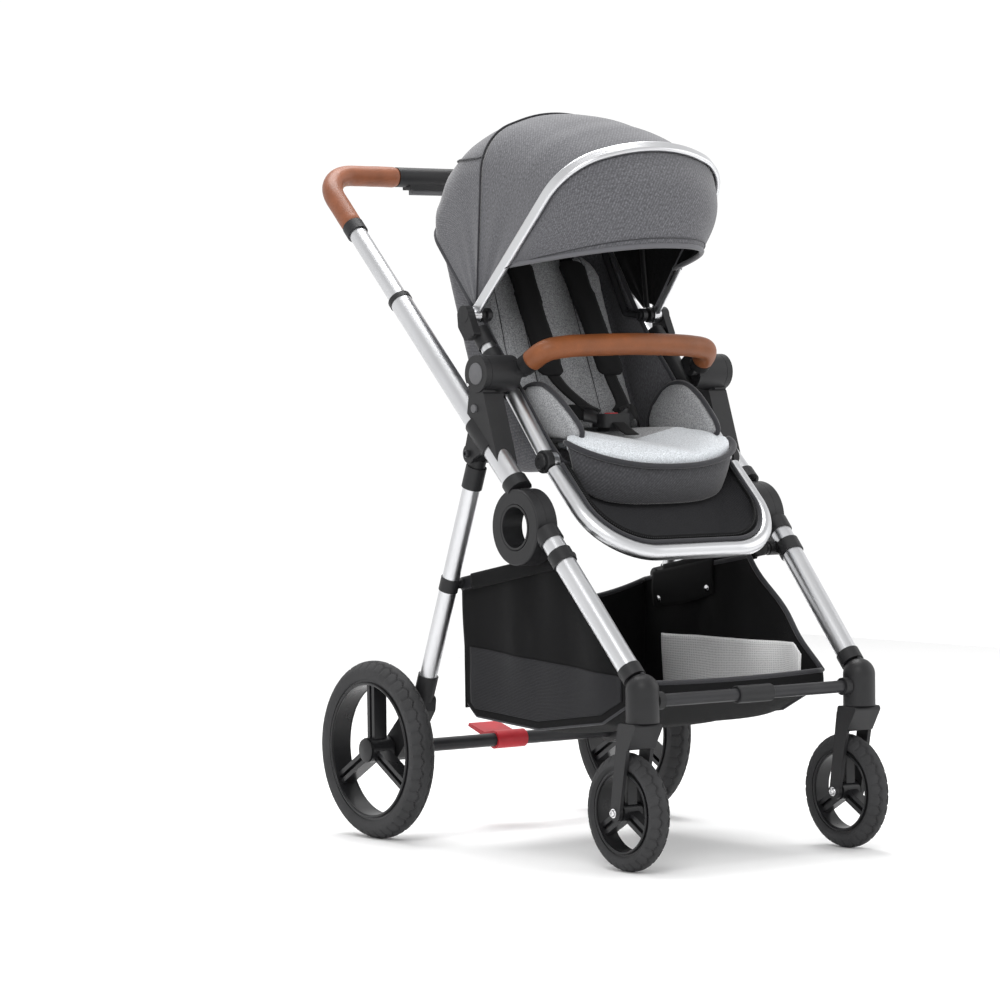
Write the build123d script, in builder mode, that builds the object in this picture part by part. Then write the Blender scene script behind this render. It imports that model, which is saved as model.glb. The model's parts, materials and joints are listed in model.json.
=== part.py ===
from build123d import *
import os
from math import atan2, cos, degrees, hypot, radians, sin

# Baby stroller, millimetres.  X is across, the front faces -Y, +Z is up and the floor is Z = 0.
# The pusher's right-hand side is -X.  Points called (y, z) lie in a side plane.

# ---- driving dimensions ----
FRONT_WHEEL_R = 89.0
FRONT_WHEEL_W = 35.0
FRONT_TYRE_BORE = 66.0
FRONT_WHEEL_X = 216.0
FRONT_WHEEL_YZ = (-357.0, FRONT_WHEEL_R)
REAR_WHEEL_R = 143.0
REAR_WHEEL_W = 42.0
REAR_TYRE_BORE = 113.0
REAR_WHEEL_X = 262.0
REAR_WHEEL_YZ = (236.0, REAR_WHEEL_R)

SWIVEL_X = 214.0
SWIVEL_Y = -391.0
SWIVEL_GAP_Z = 224.0
HOUSING_R = 25.0
HOUSING_TOP_Z = 297.0
STEM_R = 8.0
CROSS_TUBE_Z = 255.0
CROSS_TUBE_R = 9.5

PUSH_X = 228.0
PUSH_R = 18.0
TUBE_WALL = 1.5
PUSH_FOOT = (-145.7, 532.0)
PUSH_DIR = (0.7254, 0.6883)
HANDLE_R = 15.0
HANDLE_REACH = 792.25
HANDLE_BEND = 62.0
COLLAR_AT = 476.0
GRIP_START = 664.0
SLEEVE_HALF = 78.0

HINGE = (-123.0, 508.0)
HINGE_R = 59.0
HINGE_BORE = 35.0
BUSH_BORE = 31.5
HINGE_OUTER_X = 247.0
HINGE_SPLIT_X = 228.5
HINGE_INNER_X = 209.0
HINGE_GAP = 0.4

LEG_R = 17.0
LEG_TOP = (-187.8, 492.1)
LEG_FOOT = (-366.0, 298.6)
LEG_FOOT_X = 216.0

REAR_PIVOT = (0.0, 620.0)
REAR_LEG_X = 222.0
REAR_LEG_R = 14.0
REAR_LEG_TOP = (20.0, 572.0)
REAR_LEG_FOOT = (160.0, 234.0)
REAR_AXLE_R = 11.0
SPINDLE_R = 6.0

LINK_FRONT = (-194.0, 462.0)
LINK_REAR = (86.0, 413.0)
LINK_OUTER_X = 197.0
LINK_THICK = 4.5
LINK_PIN_R = 5.0

RECLINE = (-27.0, 744.0)
RECLINE_R = 29.0
SEAT_X = 177.0
SEAT_TUBE_R = 12.5
FOOT_HINGE = (-120.0, 607.0)
SEAT_TUBE_END = (48.0, 800.0)
FOOT_BAR = (-263.0, 467.5)
FOOT_CORNER_R = 100.0
CANOPY_AXIS = (66.0, 838.0)
BOW_ANGLE_FRONT = 43.5
BOW_ANGLE_MID = -1.6
CANOPY_HALF = 180.0
FRONT_RISE = 347.0
MID_RISE = 320.0
SHELL_HALF = 158.0
SHELL_WALL = 3.0
FABRIC = 3.0
BUMPER_PIVOT = (-45.0, 751.0)
RUN_FIT = 0.06


# ---- helpers: each adds to the part that is being built ----
def along(start, end, fraction):
    """The (y, z) point at a fraction of the way from start to end."""
    return (start[0] + (end[0] - start[0]) * fraction, start[1] + (end[1] - start[1]) * fraction)


def push_point(distance):
    """The (y, z) point on the push tube line at a distance from the foot of the hinge centre."""
    return (PUSH_FOOT[0] + PUSH_DIR[0] * distance, PUSH_FOOT[1] + PUSH_DIR[1] * distance)


def at(x, point):
    """A 3-D point from an x and a (y, z) point."""
    return (x, point[0], point[1])


def disc(x_start, x_end, centre, radius, mode=Mode.ADD):
    """A cylinder along X between two x values."""
    with BuildSketch(Plane.YZ.offset(x_start)) as profile:
        with Locations(centre):
            Circle(radius)
    extrude(profile.sketch, amount=x_end - x_start, mode=mode)


def rod(start, end, radius, mode=Mode.ADD):
    """A straight round bar between two 3-D points."""
    axis = Vector(*end) - Vector(*start)
    with BuildSketch(Plane(origin=start, z_dir=axis)) as profile:
        Circle(radius)
    extrude(profile.sketch, amount=axis.length, mode=mode)


def side_plate(outline, x_start, x_end, corner=0.0, mode=Mode.ADD):
    """A plate with a polygon outline in the side plane, between two x values."""
    with BuildSketch(Plane.YZ.offset(x_start)) as plate:
        with BuildLine():
            Polyline(*outline, close=True)
        make_face()
        if corner:
            fillet(plate.vertices(), radius=corner)
    extrude(plate.sketch, amount=x_end - x_start, mode=mode)


def bent_tube(points, radius, bend, wall=0.0):
    """A round tube swept along straight runs with rounded corners."""
    with BuildLine() as path:
        FilletPolyline(*points, radius=bend)
    with BuildSketch(Plane(origin=path.line @ 0, z_dir=path.line % 0)) as profile:
        Circle(radius)
        if wall:
            Circle(radius - wall, mode=Mode.SUBTRACT)
    sweep(profile.sketch, path=path.wire())


def both_sides():
    """Mirror what has been built so far to the other side of the stroller."""
    mirror(about=Plane.YZ)


def save(part, name):
    """Name a finished piece and write its file."""
    part.label = name
    export_step(part, f"parts/{name}.step")


os.makedirs("parts", exist_ok=True)

# ---- push frame ----
with BuildPart() as push_tubes:
    rod(at(-PUSH_X, push_point(60)), at(-PUSH_X, push_point(COLLAR_AT)), PUSH_R)
    rod(at(-PUSH_X, push_point(60)), at(-PUSH_X, push_point(COLLAR_AT)), PUSH_R - TUBE_WALL, Mode.SUBTRACT)
    both_sides()
save(push_tubes.part, "push_tubes")

with BuildPart() as tube_collars:
    collar_ends = [at(-PUSH_X, push_point(COLLAR_AT)), at(-PUSH_X, push_point(COLLAR_AT + 9))]
    rod(*collar_ends, PUSH_R + 1.2)
    rod(*collar_ends, HANDLE_R + RUN_FIT, Mode.SUBTRACT)
    both_sides()
save(tube_collars.part, "tube_collars")

with BuildPart() as hinge_uppers:
    rod(at(-PUSH_X, push_point(46)), at(-PUSH_X, push_point(66)), PUSH_R + 2.5)
    disc(-HINGE_SPLIT_X, -HINGE_INNER_X + 5, HINGE, HINGE_R + 1, Mode.SUBTRACT)
    disc(-HINGE_OUTER_X, -HINGE_SPLIT_X - HINGE_GAP, HINGE, HINGE_R)
    disc(-HINGE_OUTER_X, -HINGE_INNER_X, HINGE, HINGE_BORE, Mode.SUBTRACT)
    rod(at(-PUSH_X, push_point(60)), at(-PUSH_X, push_point(90)), PUSH_R, Mode.SUBTRACT)
    fillet(hinge_uppers.edges().filter_by(GeomType.CIRCLE).group_by(Axis.X)[0], radius=3)
    both_sides()
save(hinge_uppers.part, "hinge_uppers")

with BuildPart() as hinge_bushings:
    disc(-HINGE_OUTER_X, -HINGE_INNER_X, HINGE, HINGE_BORE)
    disc(-HINGE_OUTER_X, -HINGE_INNER_X, HINGE, BUSH_BORE, Mode.SUBTRACT)
    both_sides()
save(hinge_bushings.part, "hinge_bushings")

CHEEK_INNER = (-207.2, -200.5)
CHEEK_OUTER = (-243.5, -236.8)
CHEEK_R = 15.0
PIN_R = 5.0
BRACKET_SPAN = (136, 196)
BRACKET_R = PUSH_R + 2.5
bracket_ends = [at(-PUSH_X, push_point(distance)) for distance in BRACKET_SPAN]
with BuildPart() as leg_brackets:
    rod(*bracket_ends, BRACKET_R)
    for cheek in (CHEEK_INNER, CHEEK_OUTER):
        disc(cheek[0], cheek[1], REAR_PIVOT, CHEEK_R)
        side_plate(
            [push_point(BRACKET_SPAN[0]), push_point(BRACKET_SPAN[1]), (REAR_PIVOT[0] + 9, REAR_PIVOT[1] + 9),
             (REAR_PIVOT[0] - 9, REAR_PIVOT[1] - 9)],
            cheek[0], cheek[1])
    rod(at(-PUSH_X, push_point(130)), at(-PUSH_X, push_point(200)), PUSH_R, Mode.SUBTRACT)
    disc(-246.5, -198, REAR_PIVOT, PIN_R)
    both_sides()
save(leg_brackets.part, "leg_brackets")

SOCKET_OUTER_X = 244.0
SOCKET_INNER_X = 207.0
POCKET = (-38.0, -14.0)
RELEASE_AT = (-19.0, 690.0)
RELEASE_R = 6.5
with BuildPart() as seat_sockets:
    side_plate(
        [push_point(86), push_point(205), (-4, 715), (-42, 715)], -SOCKET_OUTER_X, -SOCKET_INNER_X, corner=4)
    rod(at(-PUSH_X, push_point(70)), at(-PUSH_X, push_point(230)), PUSH_R, Mode.SUBTRACT)
    rod(*bracket_ends, BRACKET_R, Mode.SUBTRACT)
    with Locations(at(-225.5, (sum(POCKET) / 2, 700))):
        Box(26, POCKET[1] - POCKET[0], 40, mode=Mode.SUBTRACT)
    disc(-SOCKET_OUTER_X - 1, -SOCKET_OUTER_X + 4.5, RELEASE_AT, RELEASE_R + 0.3, Mode.SUBTRACT)
    both_sides()
save(seat_sockets.part, "seat_sockets")

ADAPTER_FACE = (-247.0, -236.0)
BUTTON_R = 17.0
with BuildPart() as seat_adapters:
    side_plate([(-41, 715), (-5, 715), (-3, 735), (-44, 735)], -SOCKET_OUTER_X, -221)
    side_plate([(-42, 720), (-8, 720), (-4, 744), (-50, 744)], ADAPTER_FACE[0], ADAPTER_FACE[1])
    with Locations(at(-225.5, (sum(POCKET) / 2, 702))):
        Box(25.6, POCKET[1] - POCKET[0] - 0.4, 30)
    disc(-235.8, -185, RECLINE, RECLINE_R + 0.6, Mode.SUBTRACT)
    disc(ADAPTER_FACE[0], ADAPTER_FACE[1], RECLINE, RECLINE_R)
    disc(ADAPTER_FACE[0] - 1, ADAPTER_FACE[0] + 7, RECLINE, BUTTON_R + 0.3, Mode.SUBTRACT)
    disc(ADAPTER_FACE[1], -219, RECLINE, SPINDLE_R)
    both_sides()
save(seat_adapters.part, "seat_adapters")

for side, sign in (("right", -1), ("left", 1)):
    with BuildPart() as recline_button:
        disc(sign * 248.5, sign * 243.0, RECLINE, BUTTON_R)
        fillet(recline_button.edges().group_by(Axis.X)[0 if sign < 0 else -1], radius=1.5)
    save(recline_button.part, f"{side}_recline_button")
    with BuildPart() as release_button:
        disc(sign * 247.5, sign * 242.5, RELEASE_AT, RELEASE_R)
        fillet(release_button.edges().group_by(Axis.X)[0 if sign < 0 else -1], radius=1)
    save(release_button.part, f"{side}_release_button")

# ---- telescoping handle ----
bar = push_point(HANDLE_REACH)
handle_foot = push_point(300)
with BuildPart() as handle_tube:
    bent_tube(
        [at(-PUSH_X, handle_foot), at(-PUSH_X, bar), at(PUSH_X, bar), at(PUSH_X, handle_foot)],
        HANDLE_R, HANDLE_BEND, TUBE_WALL)
    for x in (-PUSH_X, PUSH_X):
        rod(at(x, handle_foot), at(x, push_point(340)), PUSH_R - TUBE_WALL - RUN_FIT)
save(handle_tube.part, "handle_tube")

with BuildPart() as handle_grips:
    bent_tube(
        [at(-PUSH_X, push_point(GRIP_START)), at(-PUSH_X, bar), at(-SLEEVE_HALF, bar)],
        HANDLE_R + 2, HANDLE_BEND, 2)
    both_sides()
save(handle_grips.part, "handle_grips")

with BuildPart() as grip_collars:
    grip_ends = [at(-PUSH_X, push_point(GRIP_START - 20)), at(-PUSH_X, push_point(GRIP_START))]
    rod(*grip_ends, HANDLE_R + 2.8)
    rod(*grip_ends, HANDLE_R, Mode.SUBTRACT)
    both_sides()
save(grip_collars.part, "grip_collars")

with BuildPart() as handle_sleeve:
    disc(-SLEEVE_HALF, SLEEVE_HALF, bar, HANDLE_R + 1.6)
    with Locations(at(0, (bar[0], bar[1] - 14))):
        Box(112, 22, 14)
    disc(-SLEEVE_HALF, SLEEVE_HALF, bar, HANDLE_R, Mode.SUBTRACT)
    with Locations(at(0, (bar[0], bar[1] - 22))):
        Box(98, 16.6, 10.6, mode=Mode.SUBTRACT)
save(handle_sleeve.part, "handle_sleeve")

with BuildPart() as fold_trigger:
    with Locations(at(0, (bar[0], bar[1] - 24.5))):
        Box(96, 15, 9)
    fillet(fold_trigger.edges().filter_by(Axis.Z), radius=4)
save(fold_trigger.part, "fold_trigger")

# ---- front legs ----
leg_length = hypot(LEG_FOOT[0] - LEG_TOP[0], LEG_FOOT[1] - LEG_TOP[1])
leg_head = at(-PUSH_X, LEG_TOP)
leg_end = at(-LEG_FOOT_X, LEG_FOOT)


def leg_at(distance):
    """A 3-D point on the right leg's centre line, measured down from its head."""
    share = distance / leg_length
    return at(-PUSH_X + (PUSH_X - LEG_FOOT_X) * share, along(LEG_TOP, LEG_FOOT, share))


with BuildPart() as leg_tubes:
    rod(leg_head, leg_end, LEG_R)
    rod(leg_head, leg_end, LEG_R - TUBE_WALL, Mode.SUBTRACT)
    both_sides()
save(leg_tubes.part, "leg_tubes")

with BuildPart() as hinge_lowers:
    rod(leg_at(-14), leg_at(8), LEG_R + 2.5)
    disc(-HINGE_OUTER_X - 5, -HINGE_SPLIT_X, HINGE, HINGE_R + 1, Mode.SUBTRACT)
    disc(-HINGE_SPLIT_X, -HINGE_INNER_X, HINGE, HINGE_R)
    disc(-HINGE_OUTER_X, -HINGE_INNER_X, HINGE, HINGE_BORE + RUN_FIT, Mode.SUBTRACT)
    rod(leg_head, leg_at(30), LEG_R, Mode.SUBTRACT)
    both_sides()
save(hinge_lowers.part, "hinge_lowers")

with BuildPart() as caster_housings:
    with BuildSketch(Plane(origin=(-SWIVEL_X, SWIVEL_Y, 0), x_dir=(1, 0, 0), z_dir=(0, -1, 0))):
        with BuildLine():
            Polyline((0, HOUSING_TOP_Z), (0, SWIVEL_GAP_Z), (HOUSING_R, SWIVEL_GAP_Z), (HOUSING_R, 272))
            RadiusArc((HOUSING_R, 272), (0, HOUSING_TOP_Z), -HOUSING_R)
        make_face()
    revolve(axis=Axis((-SWIVEL_X, SWIVEL_Y, 0), (0, 0, 1)))
    rod(leg_at(leg_length - 6), leg_at(leg_length + 14), LEG_R + 1.5)
    disc(-190, -178, (SWIVEL_Y, CROSS_TUBE_Z), CROSS_TUBE_R + 4)
    rod(leg_at(leg_length - 30), leg_end, LEG_R, Mode.SUBTRACT)
    rod((-SWIVEL_X, SWIVEL_Y, SWIVEL_GAP_Z - 1), (-SWIVEL_X, SWIVEL_Y, 282), STEM_R + RUN_FIT, Mode.SUBTRACT)
    disc(-186, -170, (SWIVEL_Y, CROSS_TUBE_Z), CROSS_TUBE_R, Mode.SUBTRACT)
    both_sides()
save(caster_housings.part, "caster_housings")

with BuildPart() as cross_tube:
    disc(-186, 186, (SWIVEL_Y, CROSS_TUBE_Z), CROSS_TUBE_R)
save(cross_tube.part, "cross_tube")

with BuildPart() as cross_coupler:
    disc(-34, 34, (SWIVEL_Y, CROSS_TUBE_Z), CROSS_TUBE_R + 4)
    fillet(cross_coupler.edges(), radius=2)
    disc(-34, 34, (SWIVEL_Y, CROSS_TUBE_Z), CROSS_TUBE_R, Mode.SUBTRACT)
save(cross_coupler.part, "cross_coupler")

with BuildPart() as link_brackets:
    rod(leg_at(30), leg_at(52), LEG_R + 2.5)
    disc(-222, -198.5, LINK_FRONT, 11)
    rod(leg_head, leg_at(60), LEG_R, Mode.SUBTRACT)
    disc(-198.5, -190, LINK_FRONT, LINK_PIN_R)
    disc(-192.2, -189.4, LINK_FRONT, 9)
    both_sides()
save(link_brackets.part, "link_brackets")

# ---- side links ----
link_slope = degrees(atan2(LINK_REAR[1] - LINK_FRONT[1], LINK_REAR[0] - LINK_FRONT[0]))
link_length = hypot(LINK_REAR[0] - LINK_FRONT[0], LINK_REAR[1] - LINK_FRONT[1])
link_middle = along(LINK_FRONT, LINK_REAR, 0.5)
with BuildPart() as side_links:
    with BuildSketch(Plane.YZ.offset(-LINK_OUTER_X)):
        with Locations(Location((link_middle[0], link_middle[1], 0), (0, 0, link_slope))):
            SlotCenterToCenter(link_length, 20)
            with GridLocations(link_length / 5, 1, 4, 1):
                Circle(3.5, mode=Mode.SUBTRACT)
        with Locations(LINK_FRONT):
            Circle(LINK_PIN_R + RUN_FIT, mode=Mode.SUBTRACT)
        with Locations(LINK_REAR):
            Circle(LINK_PIN_R, mode=Mode.SUBTRACT)
    extrude(amount=LINK_THICK)
    disc(-LINK_OUTER_X, -190, LINK_REAR, LINK_PIN_R)
    disc(-LINK_OUTER_X + LINK_THICK, -190, LINK_REAR, 8)
    both_sides()
save(side_links.part, "side_links")

# ---- casters and wheels ----
ARM_GAP = FRONT_WHEEL_W / 2 + 2
ARM_THICK = 6.5
AXLE_R = 4.0


def fork(sign):
    """A swivel fork: stem, crown and two arms round the wheel."""
    crown_points = [(SWIVEL_Y - 21, 223.4), (SWIVEL_Y + 24, 223.4), (SWIVEL_Y + 28, 184), (SWIVEL_Y + 2, 184)]
    arm_points = [(SWIVEL_Y - 2, 214), (SWIVEL_Y + 26, 214), (-346, FRONT_WHEEL_R), (-368, FRONT_WHEEL_R)]
    centre_x = sign * FRONT_WHEEL_X
    with BuildPart() as body:
        side_plate(crown_points, centre_x - ARM_GAP - ARM_THICK, centre_x + ARM_GAP + ARM_THICK, corner=5)
        for x in (centre_x - ARM_GAP - ARM_THICK, centre_x + ARM_GAP):
            side_plate(arm_points, x, x + ARM_THICK)
            disc(x, x + ARM_THICK, FRONT_WHEEL_YZ, 12.5)
        disc(centre_x - ARM_GAP, centre_x + ARM_GAP, FRONT_WHEEL_YZ, FRONT_WHEEL_R + 4, Mode.SUBTRACT)
        disc(centre_x - 40, centre_x + 40, FRONT_WHEEL_YZ, AXLE_R, Mode.SUBTRACT)
        rod((sign * SWIVEL_X, SWIVEL_Y, 215), (sign * SWIVEL_X, SWIVEL_Y, 280), STEM_R)
    return body.part


def wheel_axle(sign):
    """A bolt through the fork arms with a head at each end."""
    centre_x = sign * FRONT_WHEEL_X
    half = ARM_GAP + ARM_THICK
    with BuildPart() as bolt:
        disc(centre_x - half, centre_x + half, FRONT_WHEEL_YZ, AXLE_R)
        disc(centre_x - half - 3, centre_x - half, FRONT_WHEEL_YZ, 7)
        disc(centre_x + half, centre_x + half + 3, FRONT_WHEEL_YZ, 7)
    return bolt.part


def wheel_plane(x, centre):
    """The plane across a wheel, with X along the axle and Y up from its centre."""
    return Plane(origin=at(x, centre), x_dir=(1, 0, 0), z_dir=(0, -1, 0))


def tyre(x, centre, radius, bore, width):
    """A solid tyre with a rounded tread."""
    half = width / 2
    with BuildPart() as ring:
        with BuildSketch(wheel_plane(x, centre)):
            with BuildLine():
                Polyline((half, radius - 13), (half - 4, bore), (4 - half, bore), (-half, radius - 13))
                ThreePointArc((-half, radius - 13), (0, radius), (half, radius - 13))
            make_face()
        revolve(axis=Axis(at(x, centre), (1, 0, 0)))
    return ring.part


def rim(x, centre, bore, width, hub_radius, axle_radius, blind_end=0.0):
    """A wheel rim with three double spokes and a hub."""
    spoke_length = bore - 5 - hub_radius + 4
    spoke_middle = (bore - 5 + hub_radius) / 2
    with BuildPart() as wheel:
        with BuildSketch(wheel_plane(x, centre)):
            with Locations((0, bore - 4)):
                Rectangle(width - 10, 8)
            with Locations((0, hub_radius / 2)):
                Rectangle(width - 1, hub_radius)
        revolve(axis=Axis(at(x, centre), (1, 0, 0)))
        with BuildSketch(Plane.YZ.offset(x)):
            with Locations(centre):
                with PolarLocations(0, 3, start_angle=90):
                    with Locations((spoke_middle, 6.5), (spoke_middle, -6.5)):
                        Rectangle(spoke_length, 7)
        extrude(amount=width / 2 - 9, both=True)
        with BuildSketch(Plane.YZ.offset(x)):
            with Locations(centre):
                with PolarLocations(0, 3, start_angle=90):
                    with Locations((spoke_middle, 0)):
                        Rectangle(spoke_length, 18)
        extrude(amount=3, both=True)
        disc(x - width, x + width, centre, axle_radius + RUN_FIT, Mode.SUBTRACT)
        if blind_end:
            disc(blind_end, blind_end + (2.5 if blind_end > 0 else -2.5), centre, hub_radius - 3)
    return wheel.part


for side, sign in (("right", -1), ("left", 1)):
    front_x = sign * FRONT_WHEEL_X
    rear_x = sign * REAR_WHEEL_X
    hub_end = sign * (REAR_WHEEL_X + REAR_WHEEL_W / 2 - 1)
    save(fork(sign), f"{side}_fork")
    save(wheel_axle(sign), f"{side}_front_axle")
    save(tyre(front_x, FRONT_WHEEL_YZ, FRONT_WHEEL_R, FRONT_TYRE_BORE, FRONT_WHEEL_W), f"{side}_front_tyre")
    save(rim(front_x, FRONT_WHEEL_YZ, FRONT_TYRE_BORE, FRONT_WHEEL_W, 14, AXLE_R), f"{side}_front_rim")
    save(tyre(rear_x, REAR_WHEEL_YZ, REAR_WHEEL_R, REAR_TYRE_BORE, REAR_WHEEL_W), f"{side}_rear_tyre")
    save(rim(rear_x, REAR_WHEEL_YZ, REAR_TYRE_BORE, REAR_WHEEL_W, 20, SPINDLE_R, hub_end), f"{side}_rear_rim")

# ---- rear legs ----
rear_slope = hypot(REAR_LEG_FOOT[0] - REAR_LEG_TOP[0], REAR_LEG_FOOT[1] - REAR_LEG_TOP[1])


def rear_leg_at(distance):
    """A 3-D point on the right rear leg's centre line, measured down from its top."""
    return at(-REAR_LEG_X, along(REAR_LEG_TOP, REAR_LEG_FOOT, distance / rear_slope))


with BuildPart() as rear_leg_tubes:
    rod(rear_leg_at(-20), rear_leg_at(rear_slope), REAR_LEG_R)
    rod(rear_leg_at(-20), rear_leg_at(rear_slope), REAR_LEG_R - TUBE_WALL, Mode.SUBTRACT)
    both_sides()
save(rear_leg_tubes.part, "rear_leg_tubes")

with BuildPart() as rear_leg_heads:
    disc(-236, -208, REAR_PIVOT, 14.5)
    rod(rear_leg_at(-44), rear_leg_at(-26), 13.5)
    rod(rear_leg_at(-30), rear_leg_at(6), REAR_LEG_R + 2.5)
    rod(rear_leg_at(-20), rear_leg_at(30), REAR_LEG_R, Mode.SUBTRACT)
    disc(-245, -195, REAR_PIVOT, PIN_R + RUN_FIT, Mode.SUBTRACT)
    rod(rear_leg_at(161), rear_leg_at(183), REAR_LEG_R + 1.5)
    disc(-212, -198.5, LINK_REAR, 8)
    rod(rear_leg_at(150), rear_leg_at(190), REAR_LEG_R, Mode.SUBTRACT)
    both_sides()
save(rear_leg_heads.part, "rear_leg_heads")

with BuildPart() as axle_brackets:
    rod(rear_leg_at(rear_slope - 34), rear_leg_at(rear_slope + 8), REAR_LEG_R + 2.5)
    side_plate([(146, 236), (176, 226), (252, 156), (222, 124), (196, 150), (150, 208)], -237, -207, corner=8)
    disc(-237, -207, REAR_WHEEL_YZ, 20)
    rod(rear_leg_at(rear_slope - 40), rear_leg_at(rear_slope), REAR_LEG_R, Mode.SUBTRACT)
    disc(-240, -200, REAR_WHEEL_YZ, SPINDLE_R, Mode.SUBTRACT)
    both_sides()
save(axle_brackets.part, "axle_brackets")

with BuildPart() as rear_axle:
    disc(-206.9, 206.9, REAR_WHEEL_YZ, REAR_AXLE_R)
    disc(-281, 281, REAR_WHEEL_YZ, SPINDLE_R)
save(rear_axle.part, "rear_axle")

PEDAL_HALF = 30.0
with BuildPart() as brake_pedal:
    disc(-PEDAL_HALF, PEDAL_HALF, REAR_WHEEL_YZ, REAR_AXLE_R + 4)
    side_plate(
        [(236, 158), (262, 154), (306, 166), (308, 161), (264, 146), (240, 138)], -PEDAL_HALF, PEDAL_HALF)
    disc(-PEDAL_HALF, PEDAL_HALF, REAR_WHEEL_YZ, REAR_AXLE_R + RUN_FIT, Mode.SUBTRACT)
save(brake_pedal.part, "brake_pedal")

BASKET_HALF = 186.0
BASKET_WALL = 3.0
basket_outline = [
    (100, 404), (-165, 450), (-338, 276), (-340, 243), (-250, 200), (-90, 180), (75, 190), (104, 214)]
basket_pocket = [(97, 520), (-335, 520), (-337, 245), (-249, 203), (-90, 183), (74, 193), (100.5, 215)]
with BuildPart() as basket:
    side_plate(basket_outline, -BASKET_HALF, BASKET_HALF)
    side_plate(basket_pocket, BASKET_WALL - BASKET_HALF, BASKET_HALF - BASKET_WALL, mode=Mode.SUBTRACT)
save(basket.part, "basket")

# ---- seat ----
def seat_tube_at(share):
    """A 3-D point on the right seat tube's centre line, at a share of its length from the footrest hinge."""
    return at(-SEAT_X, along(FOOT_HINGE, SEAT_TUBE_END, share))


with BuildPart() as seat_tubes:
    rod(seat_tube_at(0), seat_tube_at(1), SEAT_TUBE_R)
    rod(seat_tube_at(0), seat_tube_at(1), SEAT_TUBE_R - TUBE_WALL, Mode.SUBTRACT)
    disc(-SEAT_X - 20, 20 - SEAT_X, FOOT_HINGE, 18, Mode.SUBTRACT)
    both_sides()
save(seat_tubes.part, "seat_tubes")

HOLDER_FACE = -178.2
with BuildPart() as recline_hubs:
    disc(-235.4, -180, RECLINE, RECLINE_R)
    rod(seat_tube_at(0.55), seat_tube_at(0.88), SEAT_TUBE_R + 3)
    side_plate([(-56, 764), (-56, 738), (-38, 725), (-10, 765)], HOLDER_FACE - 11.8, HOLDER_FACE)
    disc(HOLDER_FACE - 11.8, HOLDER_FACE, BUMPER_PIVOT, 13)
    rod(seat_tube_at(0), seat_tube_at(1), SEAT_TUBE_R, Mode.SUBTRACT)
    disc(-240, -218.7, RECLINE, SPINDLE_R + RUN_FIT, Mode.SUBTRACT)
    disc(HOLDER_FACE, HOLDER_FACE + 15.2, BUMPER_PIVOT, PIN_R)
    both_sides()
save(recline_hubs.part, "recline_hubs")

FOOT_PIN_R = 6.0
with BuildPart() as footrest_hinges:
    disc(-SEAT_X - 14, -SEAT_X - 1.6, FOOT_HINGE, 18)
    fillet(footrest_hinges.edges().group_by(Axis.X)[0], radius=2)
    disc(-SEAT_X - 1.6, 15 - SEAT_X, FOOT_HINGE, FOOT_PIN_R)
    both_sides()
save(footrest_hinges.part, "footrest_hinges")

BOW_FACE = -189.7
with BuildPart() as canopy_brackets:
    rod(seat_tube_at(0.93), seat_tube_at(1.06), SEAT_TUBE_R + 2.5)
    side_plate(
        [(36, 806), (62, 796), (80, 818), (82, 840), (72, 852), (56, 848)],
        BOW_FACE - 13.3, BOW_FACE, corner=4)
    disc(BOW_FACE - 13.8, BOW_FACE, CANOPY_AXIS, 14)
    rod(seat_tube_at(0), seat_tube_at(1), SEAT_TUBE_R, Mode.SUBTRACT)
    disc(BOW_FACE, BOW_FACE + 28.7, CANOPY_AXIS, PIN_R)
    both_sides()
save(canopy_brackets.part, "canopy_brackets")

BACK_FRAME_HALF = 145.0
back_foot = (94.0, 842.0)
back_top = (170.0, 982.0)
with BuildPart() as back_frame:
    bent_tube(
        [at(-BACK_FRAME_HALF, back_foot), at(-BACK_FRAME_HALF, back_top), at(BACK_FRAME_HALF, back_top),
         at(BACK_FRAME_HALF, back_foot)],
        6, 40)
    for x in (-1, 1):
        rod(at(x * 151, CANOPY_AXIS), at(x * BACK_FRAME_HALF, back_foot), 6)
        disc(x * 161, x * 153, CANOPY_AXIS, 11)
        disc(x * 155, x * 149, CANOPY_AXIS, 7)
save(back_frame.part, "back_frame")

shell_outline = [
    (-130, 594), (48, 588), (84, 640), (216, 972), (204, 992), (176, 986), (55, 806), (0, 743), (-115, 612)]
shell_pocket = [(-160, 597), (46, 591), (81.5, 641), (213, 973), (150, 1100), (-260, 800)]
with BuildPart() as seat_shell:
    side_plate(shell_outline, -SHELL_HALF, SHELL_HALF)
    side_plate(shell_pocket, SHELL_WALL - SHELL_HALF, SHELL_HALF - SHELL_WALL, mode=Mode.SUBTRACT)
    with BuildSketch(Plane.XZ):
        with Locations((0, 700)):
            RectangleRounded(2 * SHELL_HALF, 584, 80)
    extrude(amount=400, both=True, mode=Mode.INTERSECT)
    disc(-205, -150, CANOPY_AXIS, 18, Mode.SUBTRACT)
    disc(150, 205, CANOPY_AXIS, 18, Mode.SUBTRACT)
save(seat_shell.part, "seat_shell")

PAD_HALF = 137.0
pad_outline = [
    (-206, 600), (-208, 612), (-176, 640), (-130, 650), (28, 650), (145.4, 956), (173.2, 944), (70, 640),
    (40, 600), (-165, 598)]
with BuildPart() as seat_pad:
    side_plate(pad_outline, -PAD_HALF, PAD_HALF, corner=6)
save(seat_pad.part, "seat_pad")

STRAP_X = 62.0
with BuildPart() as harness:
    side_plate([(6, 651), (27, 651), (117, 905), (104, 909)], -STRAP_X - 24, -STRAP_X + 24, corner=3)
    both_sides()
save(harness.part, "harness")

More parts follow.
